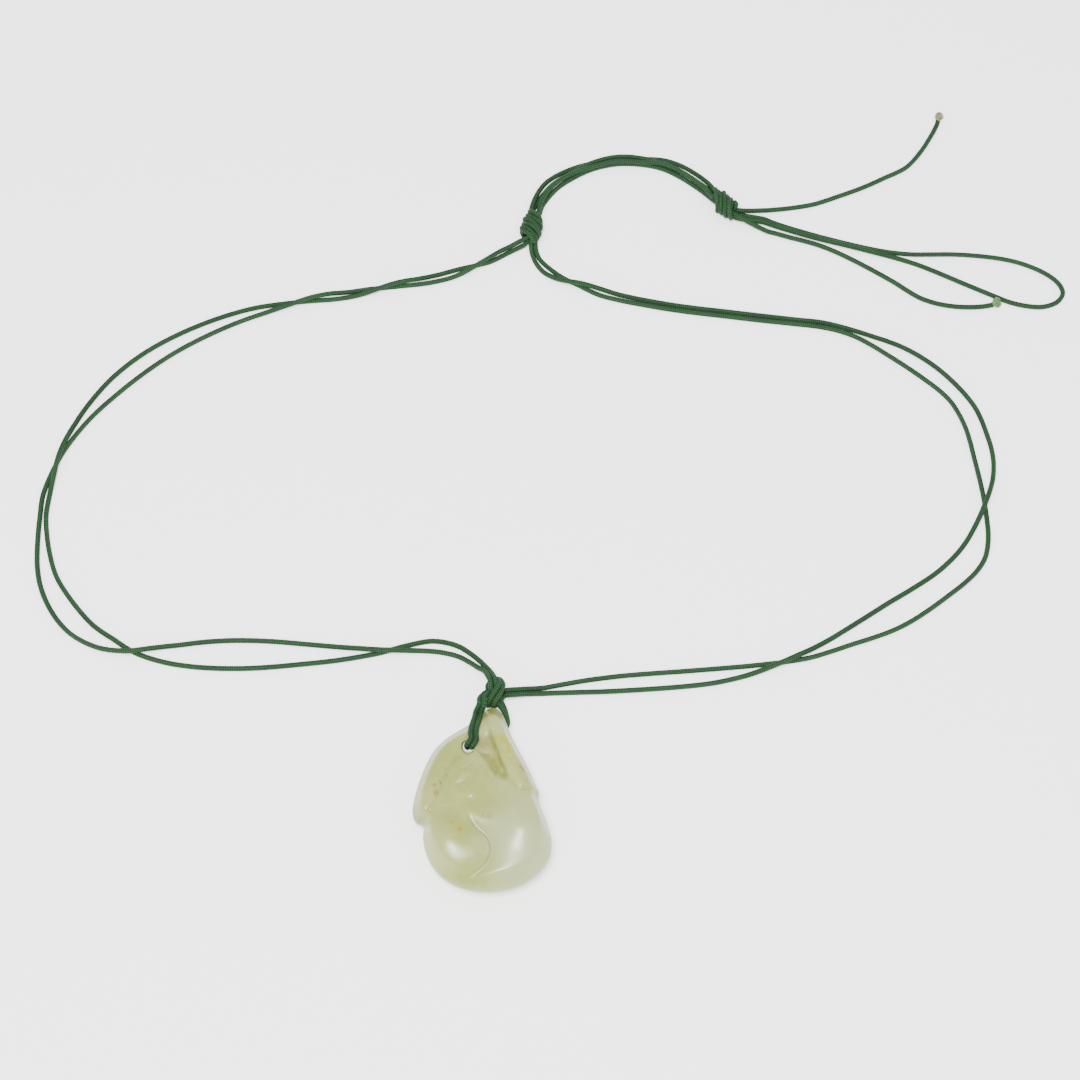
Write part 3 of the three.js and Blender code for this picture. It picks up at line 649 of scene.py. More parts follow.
@dataclass(frozen=True)
class JadeFinish:
    """Polished pale celadon stone: soft clouds, a yellowish hollow darkened with painted shade, a few russet
    marks and painted shade on the low sides.

    The greyer patch lies round a place on the right lobe. A span is two heights or two places along the
    stone between which the painted shade on the low sides begins.
    """

    form: CarvedForm
    roughness: float = 0.25
    bump: float = 0.06
    bump_metres: float = 0.0004
    refraction: float = 1.5
    glow: float = 0.2
    glow_metres: float = 0.003
    glow_reach: Place = (1.0, 1.0, 0.55)
    grey_place: Place = (12.0, -15.0, 9.0)
    grey_radius: float = 19.0
    grey_soft: float = 15.0
    grey_strength: float = 0.75
    # Painted shade: below these heights, on the leaf end, the stone's sides are darkened towards the deep
    # colour.
    side_shade_heights: Span = (9.5, 6.5)
    side_shade_span: Span = (-10.0, -5.0)
    side_shade_strength: float = 0.9
    pale: Colour = linear(152, 155, 94)
    green: Colour = linear(134, 141, 68)
    # Colour of the painted shade on the low sides.
    deep: Colour = linear(104, 108, 50)
    grey: Colour = linear(156, 162, 120)
    # Yellowish tint of the hollows, laid darker than the stone as painted shade.
    tan: Colour = linear(118, 118, 46)
    yellow: Colour = linear(146, 148, 22)
    russet: Colour = linear(112, 56, 14)
    dark: Colour = linear(60, 48, 26)

    # Tan patches in the recess by the hole, the crease between the leaves and the left notch: the stone's
    # yellowish tint, darkened there as painted shade.
    HOLLOW_TINT_AND_SHADE = (
        Mark(1.4, 12.0, 5.5, 4.5, 0.55), Mark(-6.0, 8.4, 4.2, 3.4, 0.35), Mark(3.0, 9.0, 4.2, 3.2, 0.75),
        Mark(4.8, 5.2, 3.6, 3.0, 0.7), Mark(-14.2, -8.0, 3.0, 2.4, 0.5), Mark(-12.0, -6.4, 2.2, 2.0, 0.4),
    )
    DEEP_GREEN = (
        Mark(-4.0, 2.0, 9.0, 7.0, 0.9), Mark(0.0, -4.0, 8.0, 7.0, 0.6), Mark(-1.5, -21.0, 8.0, 6.0, 0.5),
    )
    YELLOW = (
        Mark(4.8, 13.2, 2.6, 1.8, 1.0, 0.9), Mark(6.6, 10.9, 2.8, 1.8, 1.0, 0.9),
        Mark(6.3, 8.2, 2.2, 1.6, 0.8, 0.9), Mark(-4.2, -4.2, 1.8, 1.6, 0.6, 0.9),
        Mark(-5.6, -11.4, 2.4, 1.8, 0.6, 0.9),
    )
    RUSSET = (
        Mark(-11.1, -1.9, 1.1, 0.8, 0.7, 3.2), Mark(-11.6, 0.2, 0.9, 0.7, 0.6, 3.2),
        Mark(-10.2, 1.2, 0.8, 0.6, 0.5, 2.0), Mark(-5.1, -12.0, 1.2, 1.0, 0.5, 2.0),
        Mark(1.9, -8.4, 1.0, 0.8, 0.4, 2.0), Mark(0.4, -8.2, 0.7, 0.6, 0.35, 2.0),
        Mark(9.6, 5.0, 1.6, 1.3, 0.4, 2.0), Mark(-6.8, -10.4, 0.9, 0.7, 0.35, 2.0),
        Mark(11.0, 1.6, 1.1, 0.9, 0.35, 2.0),
    )
    DOTS = (
        Mark(-8.8, 3.3, 0.42, 0.3, 0.8, 2.0), Mark(-9.0, 5.0, 0.35, 0.25, 0.6, 2.0),
        Mark(-10.1, 0.6, 0.4, 0.28, 0.8, 2.0), Mark(-11.4, -0.9, 0.35, 0.25, 0.7, 2.0),
    )

    def make(self) -> bpy.types.Material:
        """Builds the stone's material.

        Returns:
            The material.
        """
        board = NodeBoard("polished_jade")
        spot = board.place()
        colour = board.mix(board.noise(spot, 0.07, 5.0).eased(0.36, 0.64), self.green, self.pale)
        grey_patch = board.spot_mask(spot, self.grey_place, self.grey_radius, self.grey_soft)
        colour = board.mix(grey_patch * self.grey_strength, colour, self.grey)
        speckle = board.noise(spot, 0.9, 6.0, 0.6)
        layers = (
            (self.DEEP_GREEN, self.green), (self.HOLLOW_TINT_AND_SHADE, self.tan), (self.YELLOW, self.yellow),
            (self.RUSSET, self.russet), (self.DOTS, self.dark),
        )
        for marks, tint in layers:
            for mark in marks:
                colour = self.stain(board, spot, colour, mark, tint)
        colour = board.mix(speckle.eased(0.52, 0.72) * 0.2, colour, self.pale)
        # Painted shade: the low sides of the leaf end are darkened in colour.
        side = board.part(spot, 2).eased(*self.side_shade_heights) * board.part(spot, 1).eased(*self.side_shade_span)
        colour = board.mix(side * self.side_shade_strength, colour, self.deep)
        board.shade(
            Base_Color=colour,
            Roughness=self.roughness + speckle * 0.12,
            IOR=self.refraction,
            Normal=board.bump(board.noise(spot, 0.5, 3.0), self.bump, self.bump_metres),
            Subsurface_Weight=self.glow,
            Subsurface_Radius=self.glow_reach,
            Subsurface_Scale=self.glow_metres,
        )
        return board.material

    def stain(self, board: NodeBoard, spot: Value, colour: Value, mark: Mark, tint: Colour) -> Value:
        """Lays one ragged patch over the stone's colour.

        Args:
            board: the stone's nodes.
            spot: Object coordinates in millimetres.
            colour: the colour so far.
            mark: the patch.
            tint: its colour.

        Returns:
            The colour with the patch on it.
        """
        height = float(self.form.front(np.array([mark.x]), np.array([mark.y]))[0])
        round_it = board.spot_mask(spot, (mark.x, mark.y, height), mark.radius, mark.soft)
        ragged = board.noise(spot, mark.grain, 5.0).eased(0.36, 0.56)
        return board.mix(round_it * ragged * mark.strength, colour, tint)


@dataclass(frozen=True)
class BraidFinish:
    """Dark green round braid, whose slanting yarns catch the light: shade between the yarns and sheen on
    their crests are painted into its colour.
    """

    # Painted shade between the yarns; also the colour of the darker random patches.
    deep: Colour = linear(5, 26, 9)
    yarn: Colour = linear(17, 60, 22)
    # Painted sheen on the yarn crests.
    yarn_sheen: Colour = linear(46, 102, 48)
    roughness: float = 0.62
    shine: float = 0.3
    bump: float = 0.6
    bump_metres: float = 0.00016

    def make(self) -> bpy.types.Material:
        """Builds the braid's material on its own map: turns across, millimetres along.

        Returns:
            The material.
        """
        board = NodeBoard("green_braid")
        uv = board.add("ShaderNodeUVMap", {"uv_map": BRAID_MAP})
        round_way = board.part(uv, 0) * (2 * math.pi * YARNS)
        along = board.part(uv, 1) * (2 * math.pi / YARN_PITCH)
        right = (round_way + along).sine()
        left = (round_way - along).sine()
        lattice = (right * left) * 0.5 + 0.5
        spot = board.place()
        fuzz = board.noise(spot, 2.6, 4.0)
        patches = board.noise(spot, 0.12, 3.0)
        # Painted shade: the colour is darker between the yarns and lighter on them.
        tone = board.mix(lattice.eased(0.05, 0.75), self.deep, self.yarn)
        # Painted sheen on the yarn crests, broken up by fuzz.
        tone = board.mix((lattice.eased(0.55, 1.0) * fuzz.eased(0.35, 0.7)) * 0.8, tone, self.yarn_sheen)
        tone = board.mix(patches.eased(0.35, 0.7) * 0.3, tone, self.deep)
        board.shade(
            Base_Color=tone,
            Roughness=self.roughness + fuzz * 0.2,
            Normal=board.bump(lattice + fuzz * 0.35, self.bump, self.bump_metres),
            Specular_IOR_Level=self.shine,
        )
        return board.material


@dataclass(frozen=True)
class MeltedFinish:
    """Melted end of the braid, in two blotched colours."""

    name: str
    first: Colour
    second: Colour

    def make(self) -> bpy.types.Material:
        """Builds the melted end's material.

        Returns:
            The material.
        """
        board = NodeBoard(self.name)
        mask = board.noise(board.place(), 0.9, 3.0).eased(0.4, 0.62)
        board.shade(Base_Color=board.mix(mask, self.first, self.second), Roughness=0.38 + mask * 0.1)
        return board.material


def deselect_all() -> None:
    """Leaves nothing selected."""
    for item in bpy.context.selected_objects:
        item.select_set(False)


def settle(piece: bpy.types.Object, name: str, material: bpy.types.Material) -> bpy.types.Object:
    """Names a piece, dresses it and puts its place into its mesh.

    Args:
        piece: the object just made.
        name: its name.
        material: its finish.

    Returns:
        The same object.
    """
    piece.name = name
    piece.data.name = name
    bpy.context.view_layer.update()
    piece.data.transform(piece.matrix_world)
    piece.matrix_world.identity()
    piece.data.materials.clear()
    piece.data.materials.append(material)
    deselect_all()
    return piece


@dataclass
class Jade:
    """The carved stone: a fine sphere pressed to the carved form, then drilled."""

    form: CarvedForm
    hole: CordHole
    name: str = "jade_carving"
    segments: int = 440
    rings: int = 176
    drill_sides: int = 48
    smooth_degrees: float = 50.0

    # Distance in from a mouth of the hole, and how much wider than the hole the drill is there.
    MOUTH = ((0.35, 0.38), (0.8, 0.14), (1.4, 0.0))

    def body(self) -> bpy.types.Object:
        """Presses a sphere's rings to the front and the back.

        Returns:
            The stone without its hole.
        """
        deselect_all()
        bpy.ops.mesh.primitive_uv_sphere_add(segments=self.segments, ring_count=self.rings, radius=1.0)
        stone = bpy.context.object
        count = len(stone.data.vertices)
        places = np.zeros(count * 3)
        stone.data.vertices.foreach_get("co", places)
        places = places.reshape(-1, 3)
        share = np.clip(np.hypot(places[:, 0], places[:, 1]), 0, 1)
        angle = np.arctan2(places[:, 1], places[:, 0])
        reach = self.form.reach(angle)
        x = self.form.HEART[0] + share * reach * np.cos(angle)
        y = self.form.HEART[1] + share * reach * np.sin(angle)
        front = places[:, 2] >= 0
        z = np.where(front, self.form.front(x, y, share), self.form.back(x, y, share))
        shifted = np.stack([x + self.form.MIDDLE[0], y + self.form.MIDDLE[1], z], axis=1) * MILLIMETRE
        stone.data.vertices.foreach_set("co", shifted.ravel())
        stone.data.update()
        return stone

    def drill(self) -> bpy.types.Object:
        """Makes the drill that is wider at both mouths.

        Returns:
            The drill, standing along the hole.
        """
        hole = self.hole
        sides = self.drill_sides
        radius = hole.diameter / 2
        stations = [(h, radius + hole.flare + wider) for h, wider in ((-4.0, 1.6), (-0.3, 0.15), (0.0, 0.0))]
        stations += [(h, radius + wider) for h, wider in self.MOUTH]
        profile = stations + [(hole.depth - h, r) for h, r in reversed(stations)]
        deselect_all()
        bpy.ops.mesh.primitive_circle_add(vertices=sides, radius=1.0, fill_type="NOTHING")
        tool = bpy.context.object
        mesh = bmesh.new()
        rings = []
        for height, wide in profile:
            ring = []
            for step in range(sides):
                turn = 2 * math.pi * step / sides
                side = np.array([math.cos(turn), 0, 0]) + hole.across * math.sin(turn)
                place = hole.foot + hole.axis * height + side * wide
                place = place + np.array([*self.form.MIDDLE, 0.0])
                ring.append(mesh.verts.new(place * MILLIMETRE))
            rings.append(ring)
        for lower, upper in zip(rings, rings[1:]):
            for i in range(sides):
                j = (i + 1) % sides
                mesh.faces.new((lower[i], lower[j], upper[j], upper[i]))
        mesh.faces.new(rings[0])
        mesh.faces.new(rings[-1])
        bmesh.ops.recalc_face_normals(mesh, faces=mesh.faces)
        mesh.to_mesh(tool.data)
        mesh.free()
        return tool

    def build(self, material: bpy.types.Material) -> bpy.types.Object:
        """Drills the stone and dresses it.

        Args:
            material: the stone's finish.

        Returns:
            The finished stone.
        """
        stone = self.body()
        tool = self.drill()
        deselect_all()
        stone.select_set(True)
        bpy.context.view_layer.objects.active = stone
        cut = stone.modifiers.new("hole", "BOOLEAN")
        cut.operation = "DIFFERENCE"
        cut.object = tool
        cut.solver = "EXACT"
        bpy.ops.object.modifier_apply(modifier=cut.name)
        bpy.data.objects.remove(tool)
        bpy.ops.object.shade_smooth_by_angle(angle=math.radians(self.smooth_degrees))
        stone = settle(stone, self.name, material)
        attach(stone, "root")
        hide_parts("jade_toggle")
        LOG.info("%s: %d faces", stone.name, len(stone.data.polygons))
        return stone


class Strand(Enum):
    """Which of the pair a strand is, by the side it keeps to."""

    LEFT = -1.0
    RIGHT = 1.0


@dataclass
class Winding:
    """A sliding knot: where it lies, and how a pair of strands winds round it."""

    middle: Place
    turn_degrees: float
    start_degrees: float
    turns: float
    pitch: float
    radius: float = 2.4
    strand_gap: float = 1.45
    slant: float = 0.0
    unevenness: float = 0.22
    steps_per_turn: int = 14
    mouth_share: float = 0.62  # of the radius, where the strands come in and go out

    def place(self, along: float, aside: float, up: float) -> Place:
        """A place in the knot.

        Args:
            along: distance along its axis.
            aside: distance to the axis's left.
            up: distance above its axis.

        Returns:
            The place among the cord's routes.
        """
        turn = math.radians(self.turn_degrees)
        x = self.middle[0] + along * math.cos(turn) - aside * math.sin(turn)
        y = self.middle[1] + along * math.sin(turn) + aside * math.cos(turn)
        return (x, y, self.middle[2] + up)

    def wraps(self, strand: Strand) -> Route:
        """Route of one strand of the pair that winds round the knot.

        Args:
            strand: which of the pair it is.

        Returns:
            The places along the winding.
        """
        count = int(abs(self.turns) * self.steps_per_turn)
        span = self.pitch * abs(self.turns)
        places = []
        for step in range(1, count):
            share = step / count
            angle = math.radians(self.start_degrees) + 2 * math.pi * self.turns * share
            opened = min(1.0, 9 * share, 9 * (1 - share))
            wide = self.radius * (self.mouth_share + (1 - self.mouth_share) * opened)
            wide += self.unevenness * math.sin(2.3 * angle + strand.value)
            along = span * (share - 0.5) + strand.value * self.strand_gap / 2 + self.slant * math.cos(angle)
            places.append(self.place(along, wide * math.cos(angle), wide * math.sin(angle)))
        return places

    def core(self, aside: float, up: float, reach: float) -> Route:
        """Route of a strand that runs straight through the knot."""
        return [self.place(along, aside, up) for along in (-reach, -reach / 3, reach / 3, reach)]


@dataclass
class CordLayout:
    """Routes of the cord, measured from the middle of the knot at the toggle."""

    form: CarvedForm
    hole: CordHole
    diameter: float = 1.35
    crossing_reach: float = 13.0
    crossing_rise: float = 1.5
    knot: Span = (2.7, 29.52)
    spread: float = 0.66  # of a strand from its pair's line
    in_hole_right: float = 0.3
    in_hole_up: float = 0.1
    through_knot: float = 3.0

    NECK_LEFT_LOWER: ClassVar[Route] = [
        (-4.4, 10.6, 1.9), (-9.3, 14.8, 0.8), (-16.5, 16.4), (-29.5, 13), (-39.5, 11),
        (-50, 9.7), (-61, 8.7), (-72, 8.7), (-82.5, 10), (-91.5, 13), (-97.5, 17), (-103.5, 21.5),
        (-113, 34), (-115.7, 41), (-117.3, 48), (-118, 54.5), (-116.8, 66.5),
        (-116, 71.5), (-114, 79), (-111, 86), (-104.7, 96), (-97, 104), (-89.5, 109.5), (-81.5, 114),
        (-73.5, 117.5), (-65.5, 120), (-52, 122), (-46, 122.5), (-41, 123.3),
        (-35.5, 124.7), (-28.5, 127), (-21.5, 129.2), (-10.5, 132.9),
        (-2.8, 135.1), (0.6, 137), (3.4, 138.8), (5.5, 139.8, 1), (7, 140.4, 1.5),
    ]
    NECK_LEFT_UPPER: ClassVar[Route] = [
        (-4.4, 8.2, 2.1), (-9.3, 11.9, 0.8), (-16.5, 13.5), (-29.5, 13.2), (-39.5, 14.6),
        (-50, 15.7), (-58, 16.4), (-67, 16.6), (-75.5, 16), (-84, 14.6), (-91.5, 13), (-95, 13),
        (-101, 14.4), (-108.5, 18.5), (-114, 25), (-117.7, 33), (-119.2, 41), (-119.6, 54.5),
        (-119.3, 60.5), (-116, 71.5), (-113, 77.5), (-108.8, 84), (-103.5, 90.3),
        (-96.5, 97.5), (-89, 104), (-81, 109.5), (-73, 114), (-65, 117.6), (-52, 122),
        (-46, 124), (-41, 125), (-35.5, 126), (-21.5, 127.7), (-16, 128.9), (-10.5, 130.9),
        (-2.8, 135.5), (0.3, 138), (2.7, 139.6, 0.9), (5.4, 140.9, 2),
    ]
    NECK_RIGHT_INNER: ClassVar[Route] = [
        (3.5, -0.2, 3.2), (7.5, 0.9, 1.6), (12.5, 1.5), (27, 2), (40, 2.8), (48, 3.5), (55.5, 4.5),
        (63.5, 6.5), (71, 9), (74.5, 10.5), (80.5, 13.8), (91.5, 21), (101, 27.5), (113.5, 36), (120.5, 43),
        (125, 50), (128.3, 57), (131, 65), (131.6, 72), (130.5, 79), (128, 87.5), (122, 96.5),
        (116, 102.5), (109.5, 107), (102, 110.3), (93.5, 113.5), (88, 115), (82.5, 115.7),
        (71.5, 117.2), (61, 118.7), (50, 120.3), (39, 122.6), (28, 125.5), (22.5, 127), (17, 128.6),
        (12.5, 131.6), (10.1, 135.2), (9.1, 138.2, 1.2), (8.8, 140.5, 2.9),
    ]
    NECK_RIGHT_OUTER: ClassVar[Route] = [
        (3.5, 1.2, 3.2), (7.5, 2.3, 1.6), (12.5, 3.1), (22, 5), (32.5, 6.5), (48, 7.8), (63.5, 9.2),
        (69.5, 9.9), (74.5, 10.6), (80.5, 11.8), (91, 15.5), (100.5, 19), (107, 22.5), (117, 30), (123.7, 36),
        (127, 41), (128.3, 47), (128.4, 52), (128, 60), (126.5, 72), (125, 81), (121.5, 89.5),
        (115.5, 96), (106, 104), (98.5, 109.5), (93.5, 111.9), (88, 113.4), (82.5, 114.2),
        (71.5, 115.6), (61, 117.1), (50, 118.7), (39, 120.9), (28, 123.9), (22.5, 127), (17.5, 130),
        (14, 133), (11.4, 136), (10.3, 138.6, 1.2), (10.1, 140.6, 2.6),
    ]
    END_LOOP: ClassVar[Route] = [
        (74, 149.6, 1.2), (78, 148, 0.8), (87.5, 144.5), (96.5, 141.6),
        (106.5, 138.9), (114.5, 137.8), (125.5, 137.8), (135, 137), (143, 135.3), (150, 132), (154.2, 128.2),
        (155.3, 124.7), (153.3, 121.6), (148.5, 120), (141, 121.4), (137, 123.3), (128, 128),
        (116.5, 134), (111, 136.1, 0.8), (106, 137.6, 1.1), (96.5, 140.4, 1.4), (87.3, 143.2, 1.4),
        (77.8, 146.7, 1.4), (74, 148.2, 1.5),
    ]
    FREE_END_UPPER: ClassVar[Route] = [
        (75, 152.9, 0.8), (80, 153.5), (88, 155), (94.5, 157.5),
        (102.5, 161), (109, 164.5), (115, 168), (119.5, 173.5), (122.5, 178.5), (125, 183.5), (125.4, 185),
    ]
    FREE_END_LOWER: ClassVar[Route] = [
        (74.5, 145.6, 1.1), (81, 143.6, 0.7), (88.5, 141.1), (94.5, 138.1),
        (102.5, 133), (109.5, 128), (115.5, 123.3), (121, 121), (127.5, 120), (133, 120.2), (135.8, 120.8),
    ]
    LOWER_OVER: ClassVar[Route] = [(-116, 71.5), (-28.5, 127)]
    UPPER_OVER: ClassVar[Route] = [(-29.5, 13), (-91.5, 13), (-52, 122), (-2.8, 135.4)]
    INNER_OVER: ClassVar[Route] = [(74.5, 10.5), (128.3, 56), (22.5, 126.9)]
    CLOSURE_MIDDLE: ClassVar[Route] = [
        (9.7, 149.2), (11.2, 155), (14.8, 161.3), (20, 165.5), (26, 168.4), (33, 170), (40, 170),
        (46.5, 168.8), (52.5, 165.3), (57.5, 160.6), (60.6, 155.9),
    ]
    CLOSURE_RUNS: ClassVar[list] = [
        [(0.8, 3.8), (1.5, 2.1), (2.1, 0.8), (1.7, 0.6), (1.1, 0.6), (0.8, 0.6), (1.1, 0.6), (1.8, 0.6),
         (2.2, 0.6), (1.7, 1.7), (0.8, 3.7)],
        [(0.8, 2.3), (0.6, 1), (0.3, 0.7), (0.2, 0.9), (0.3, 1.9), (0.7, 2.1), (0.4, 1.95), (0.3, 0.7),
         (0.3, 0.6), (0.5, 0.9), (0.8, 2.2)],
        [(-0.8, 3.8), (-0.7, 2.6), (-0.6, 2.1), (-0.8, 2.05), (-1.1, 2.1), (-0.75, 2.1), (-1, 2),
         (-0.6, 2.1), (-0.5, 2), (-0.7, 2.4), (-0.8, 3.7)],
        [(-0.8, 2.3), (-1.1, 1.1), (-1.5, 0.6), (-1.4, 0.6), (-1, 0.6), (-0.75, 0.6), (-0.9, 0.6),
         (-1.3, 0.6), (-1.4, 0.6), (-1.2, 1), (-0.8, 2.2)],
    ]
    # Where the pairs run over the front and behind the stalk: a place on the stone, and how far off it.
    OVER_FRONT = (
        (-2.9, 13.1, 1.15), (-2.6, 15.2, 0.8), (-2.0, 17.6, 0.72), (-1.3, 20.3, 0.72), (-0.8, 22.8, 0.9),
    )
    BEHIND_STALK = ((4.9, 21.0, -0.9), (2.9, 19.2, -0.7), (0.4, 17.6, -0.7), (-1.7, 16.6, -0.8))
    # The pair that leaves the toggle's front, round its knot: place, and the way out of the knot there.
    FRONT_PAIR: ClassVar[list] = [
        ((-3.1, -4.6, 7.0), (-0.3, -0.2, 0.95)), ((-3.1, -2.8, 6.5), (-0.4, 0, 0.9)),
        ((-2.2, -1.1, 5.6), (-0.5, 0.2, 0.85)), ((-1.2, 0.5, 4.6), (-0.6, 0.3, 0.75)),
        ((-1.3, 2.2, 4.3), (-0.6, 0.7, 0.5)), ((-0.5, 3.3, 4.6), (-0.2, 0.9, 0.4)),
        ((0.8, 3.3, 5.1), (0.3, 0.8, 0.5)), ((1.6, 2.1, 5.6), (0.7, 0.4, 0.6)),
        ((1.4, 0.4, 6.1), (0.6, 0, 0.8)), ((0.6, -1.4, 6.4), (0.2, -0.2, 0.95)),
        ((-0.5, -3.1, 6.0), (0, -0.6, 0.8)), ((-1.0, -3.9, 4.7), (-0.2, -1, 0)),
        ((-0.4, -3.0, 3.2), (0, -0.6, -0.8)), ((1.0, -0.9, 2.7), (0.2, 0, -1)), ((2.2, 0.3, 3.0), (0, 0, -1)),
    ]
    # The pair that leaves behind the stalk, from the neck's left side to the back of the stone.
    BACK_PAIR: ClassVar[list] = [
        ((-2.0, 6.4, 3.7), (0.2, 0.2, 0.95)), ((-1.1, 4.4, 5.1), (0.1, 0.3, 0.95)),
        ((-0.4, 2.3, 6.1), (0, 0.1, 1)), ((-0.1, 0.3, 5.4), (0, 0, 1)), ((1.0, -2.2, 3.9), (0.5, 0, 0.85)),
        ((2.3, -4.3, 3.3), (0.9, 0, 0.4)), ((3.05, -6.4, 2.8), (1, 0, 0)),
    ]

    def raised(self, points: Route, overs: Sequence[tuple[float, float]] = ()) -> Route:
        """Lays a route on the surface and lifts it where it passes over another run.

        Args:
            points: places of the route; one with two numbers lies on the surface.
            overs: where the route goes over another.

        Returns:
            The places with their heights.
        """
        rest = self.diameter / 2
        line = smooth_line([(*p, rest) if len(p) == 2 else p for p in points], fine=6)
        line[:, 2] = np.maximum(line[:, 2], rest)
        for x, y in overs:
            away = np.minimum(1.0, np.hypot(line[:, 0] - x, line[:, 1] - y) / self.crossing_reach)
            line[:, 2] += self.crossing_rise * np.cos(away * math.pi / 2) ** 2
        return [tuple(p) for p in line[::3]]

    def closure(self, run: int) -> Route:
        """Route of one of the four runs between the sliding knots.

        Args:
            run: which of the four it is.

        Returns:
            The run's places.
        """
        middle = np.array(self.CLOSURE_MIDDLE, float)
        heading = np.gradient(middle, axis=0)
        heading /= np.linalg.norm(heading, axis=1)[:, None]
        return [
            (x - side * dy, y + side * dx, height)
            for (x, y), (dx, dy), (side, height) in zip(middle, heading, self.CLOSURE_RUNS[run])
        ]

    def beside(self, points: list[tuple], strand: Strand) -> Route:
        """Route of one strand of a pair beside the pair's own line.

        Args:
            points: place and outward way at each point of the pair.
            strand: which of the pair it is.

        Returns:
            The strand's places.
        """
        line = np.array([p for p, _ in points], float)
        out = np.array([n for _, n in points], float)
        side = np.cross(np.gradient(line, axis=0), out)
        side /= np.linalg.norm(side, axis=1)[:, None]
        return [tuple(p) for p in line + side * self.spread * strand.value]

    def off(self, side: Callable, x: float, y: float, distance: float) -> Place:
        """A place moved off one face of the stone.

        Args:
            side: the face's heights.
            x: where it is on the stone, to the right.
            y: where it is on the stone, towards the stalk.
            distance: how far it moves, upwards along the face's own direction.

        Returns:
            The place, measured from the knot.
        """
        step = 0.25
        spots = np.array([x, x - step, x + step, x, x]), np.array([y, y, y, y - step, y + step])
        here, west, east, south, north = side(*spots)
        normal = np.array([(west - east) / (2 * step), (south - north) / (2 * step), 1.0])
        place = np.array([x, y, here]) + distance * normal / np.linalg.norm(normal)
        return self.from_knot(place)

    def from_knot(self, place: Sequence[float]) -> Place:
        """Turns a place in the stone's drawing into one measured from the knot."""
        x, y = (place[k] + self.form.MIDDLE[k] - self.knot[k] for k in (0, 1))
        return (x, y, place[2])

    def in_hole(self, share: float) -> Place:
        """A place in the drilled hole, right of its axis.

        Args:
            share: share of the way from the back to the front.

        Returns:
            The place, measured from the knot.
        """
        hole = self.hole
        aside = np.array([self.in_hole_right, 0.0, 0.0])
        place = hole.foot + hole.axis * hole.depth * share + hole.across * self.in_hole_up + aside
        return self.from_knot(place)

    def front_leg(self, strand: Strand) -> Route:
        """From the middle of the hole over the carved front into the knot.

        Args:
            strand: which of the pair it is.

        Returns:
            The strand's places.
        """
        up, wall = (0, 0, 1), tuple(-self.hole.across)
        points = [(self.in_hole(share), wall) for share in (0.5, 0.75)]
        points.append((self.in_hole(0.95), (0, -0.5, 0.85)))
        for x, y, lift in self.OVER_FRONT:
            points.append((self.off(self.form.front, x, y, lift), up))
        return self.beside(points + self.FRONT_PAIR, strand)

    def back_leg(self, strand: Strand) -> Route:
        """From the neck through the knot and behind the stalk to the middle of the hole.

        Args:
            strand: which of the pair it is.

        Returns:
            The strand's places.
        """
        down, wall = (0, 0, -1), tuple(-self.hole.across)
        points = list(self.BACK_PAIR)
        for x, y, lift in self.BEHIND_STALK:
            points.append((self.off(self.form.back, x, y, lift), down))
        points.append((self.in_hole(0.03), (0.4, -0.6, -0.7)))
        points += [(self.in_hole(share), wall) for share in (0.25, 0.5)]
        return self.beside(points, strand)

    def near_knot(self) -> Winding:
        """The sliding knot at the neck loop's end."""
        return Winding((9, 145, 3), 80, 180, -2.5, 2.95, slant=0.9)

    def far_knot(self) -> Winding:
        """The sliding knot at the tails."""
        return Winding((63.2, 153.1, 3.1), -40, 0, 2.25, 2.95, slant=-1.7)

    def tail_strand(self, strand: Strand) -> Route:
        """A strand from the toggle's front to its free end.

        Args:
            strand: which of the pair it is.

        Returns:
            The strand's places.
        """
        if strand is Strand.RIGHT:
            neck = self.raised(self.NECK_RIGHT_OUTER)
            closure = self.closure(2)
            tail = self.raised(self.FREE_END_UPPER)
        else:
            neck = self.raised(self.NECK_RIGHT_INNER, self.INNER_OVER)
            closure = self.closure(3)
            tail = self.raised(self.FREE_END_LOWER)
        straight = self.far_knot().core(self.spread * strand.value, -0.4, self.through_knot)
        return self.front_leg(strand) + neck + self.near_knot().wraps(strand) + closure + straight + tail

    def looped_half(self, strand: Strand) -> Route:
        """A strand from the hole's back by the left neck to the end loop.

        Args:
            strand: which of the pair it is.

        Returns:
            The strand's places.
        """
        if strand is Strand.RIGHT:
            neck = self.raised(self.NECK_LEFT_UPPER, self.UPPER_OVER)
            closure = self.closure(0)
        else:
            neck = self.raised(self.NECK_LEFT_LOWER, self.LOWER_OVER)
            closure = self.closure(1)
        straight = self.near_knot().core(0, self.spread * strand.value, self.through_knot)
        knot = self.far_knot()
        wound = knot.wraps(strand) + [knot.place(3.2, -0.3 + self.spread * strand.value, -1.2)]
        return self.back_leg(strand)[::-1] + neck + straight + closure + wound

    def loop_strand(self) -> Route:
        """The strand that goes from the hole round the end loop and back to the hole."""
        there, back = self.looped_half(Strand.RIGHT), self.looped_half(Strand.LEFT)
        return there + self.raised(self.END_LOOP) + back[::-1]


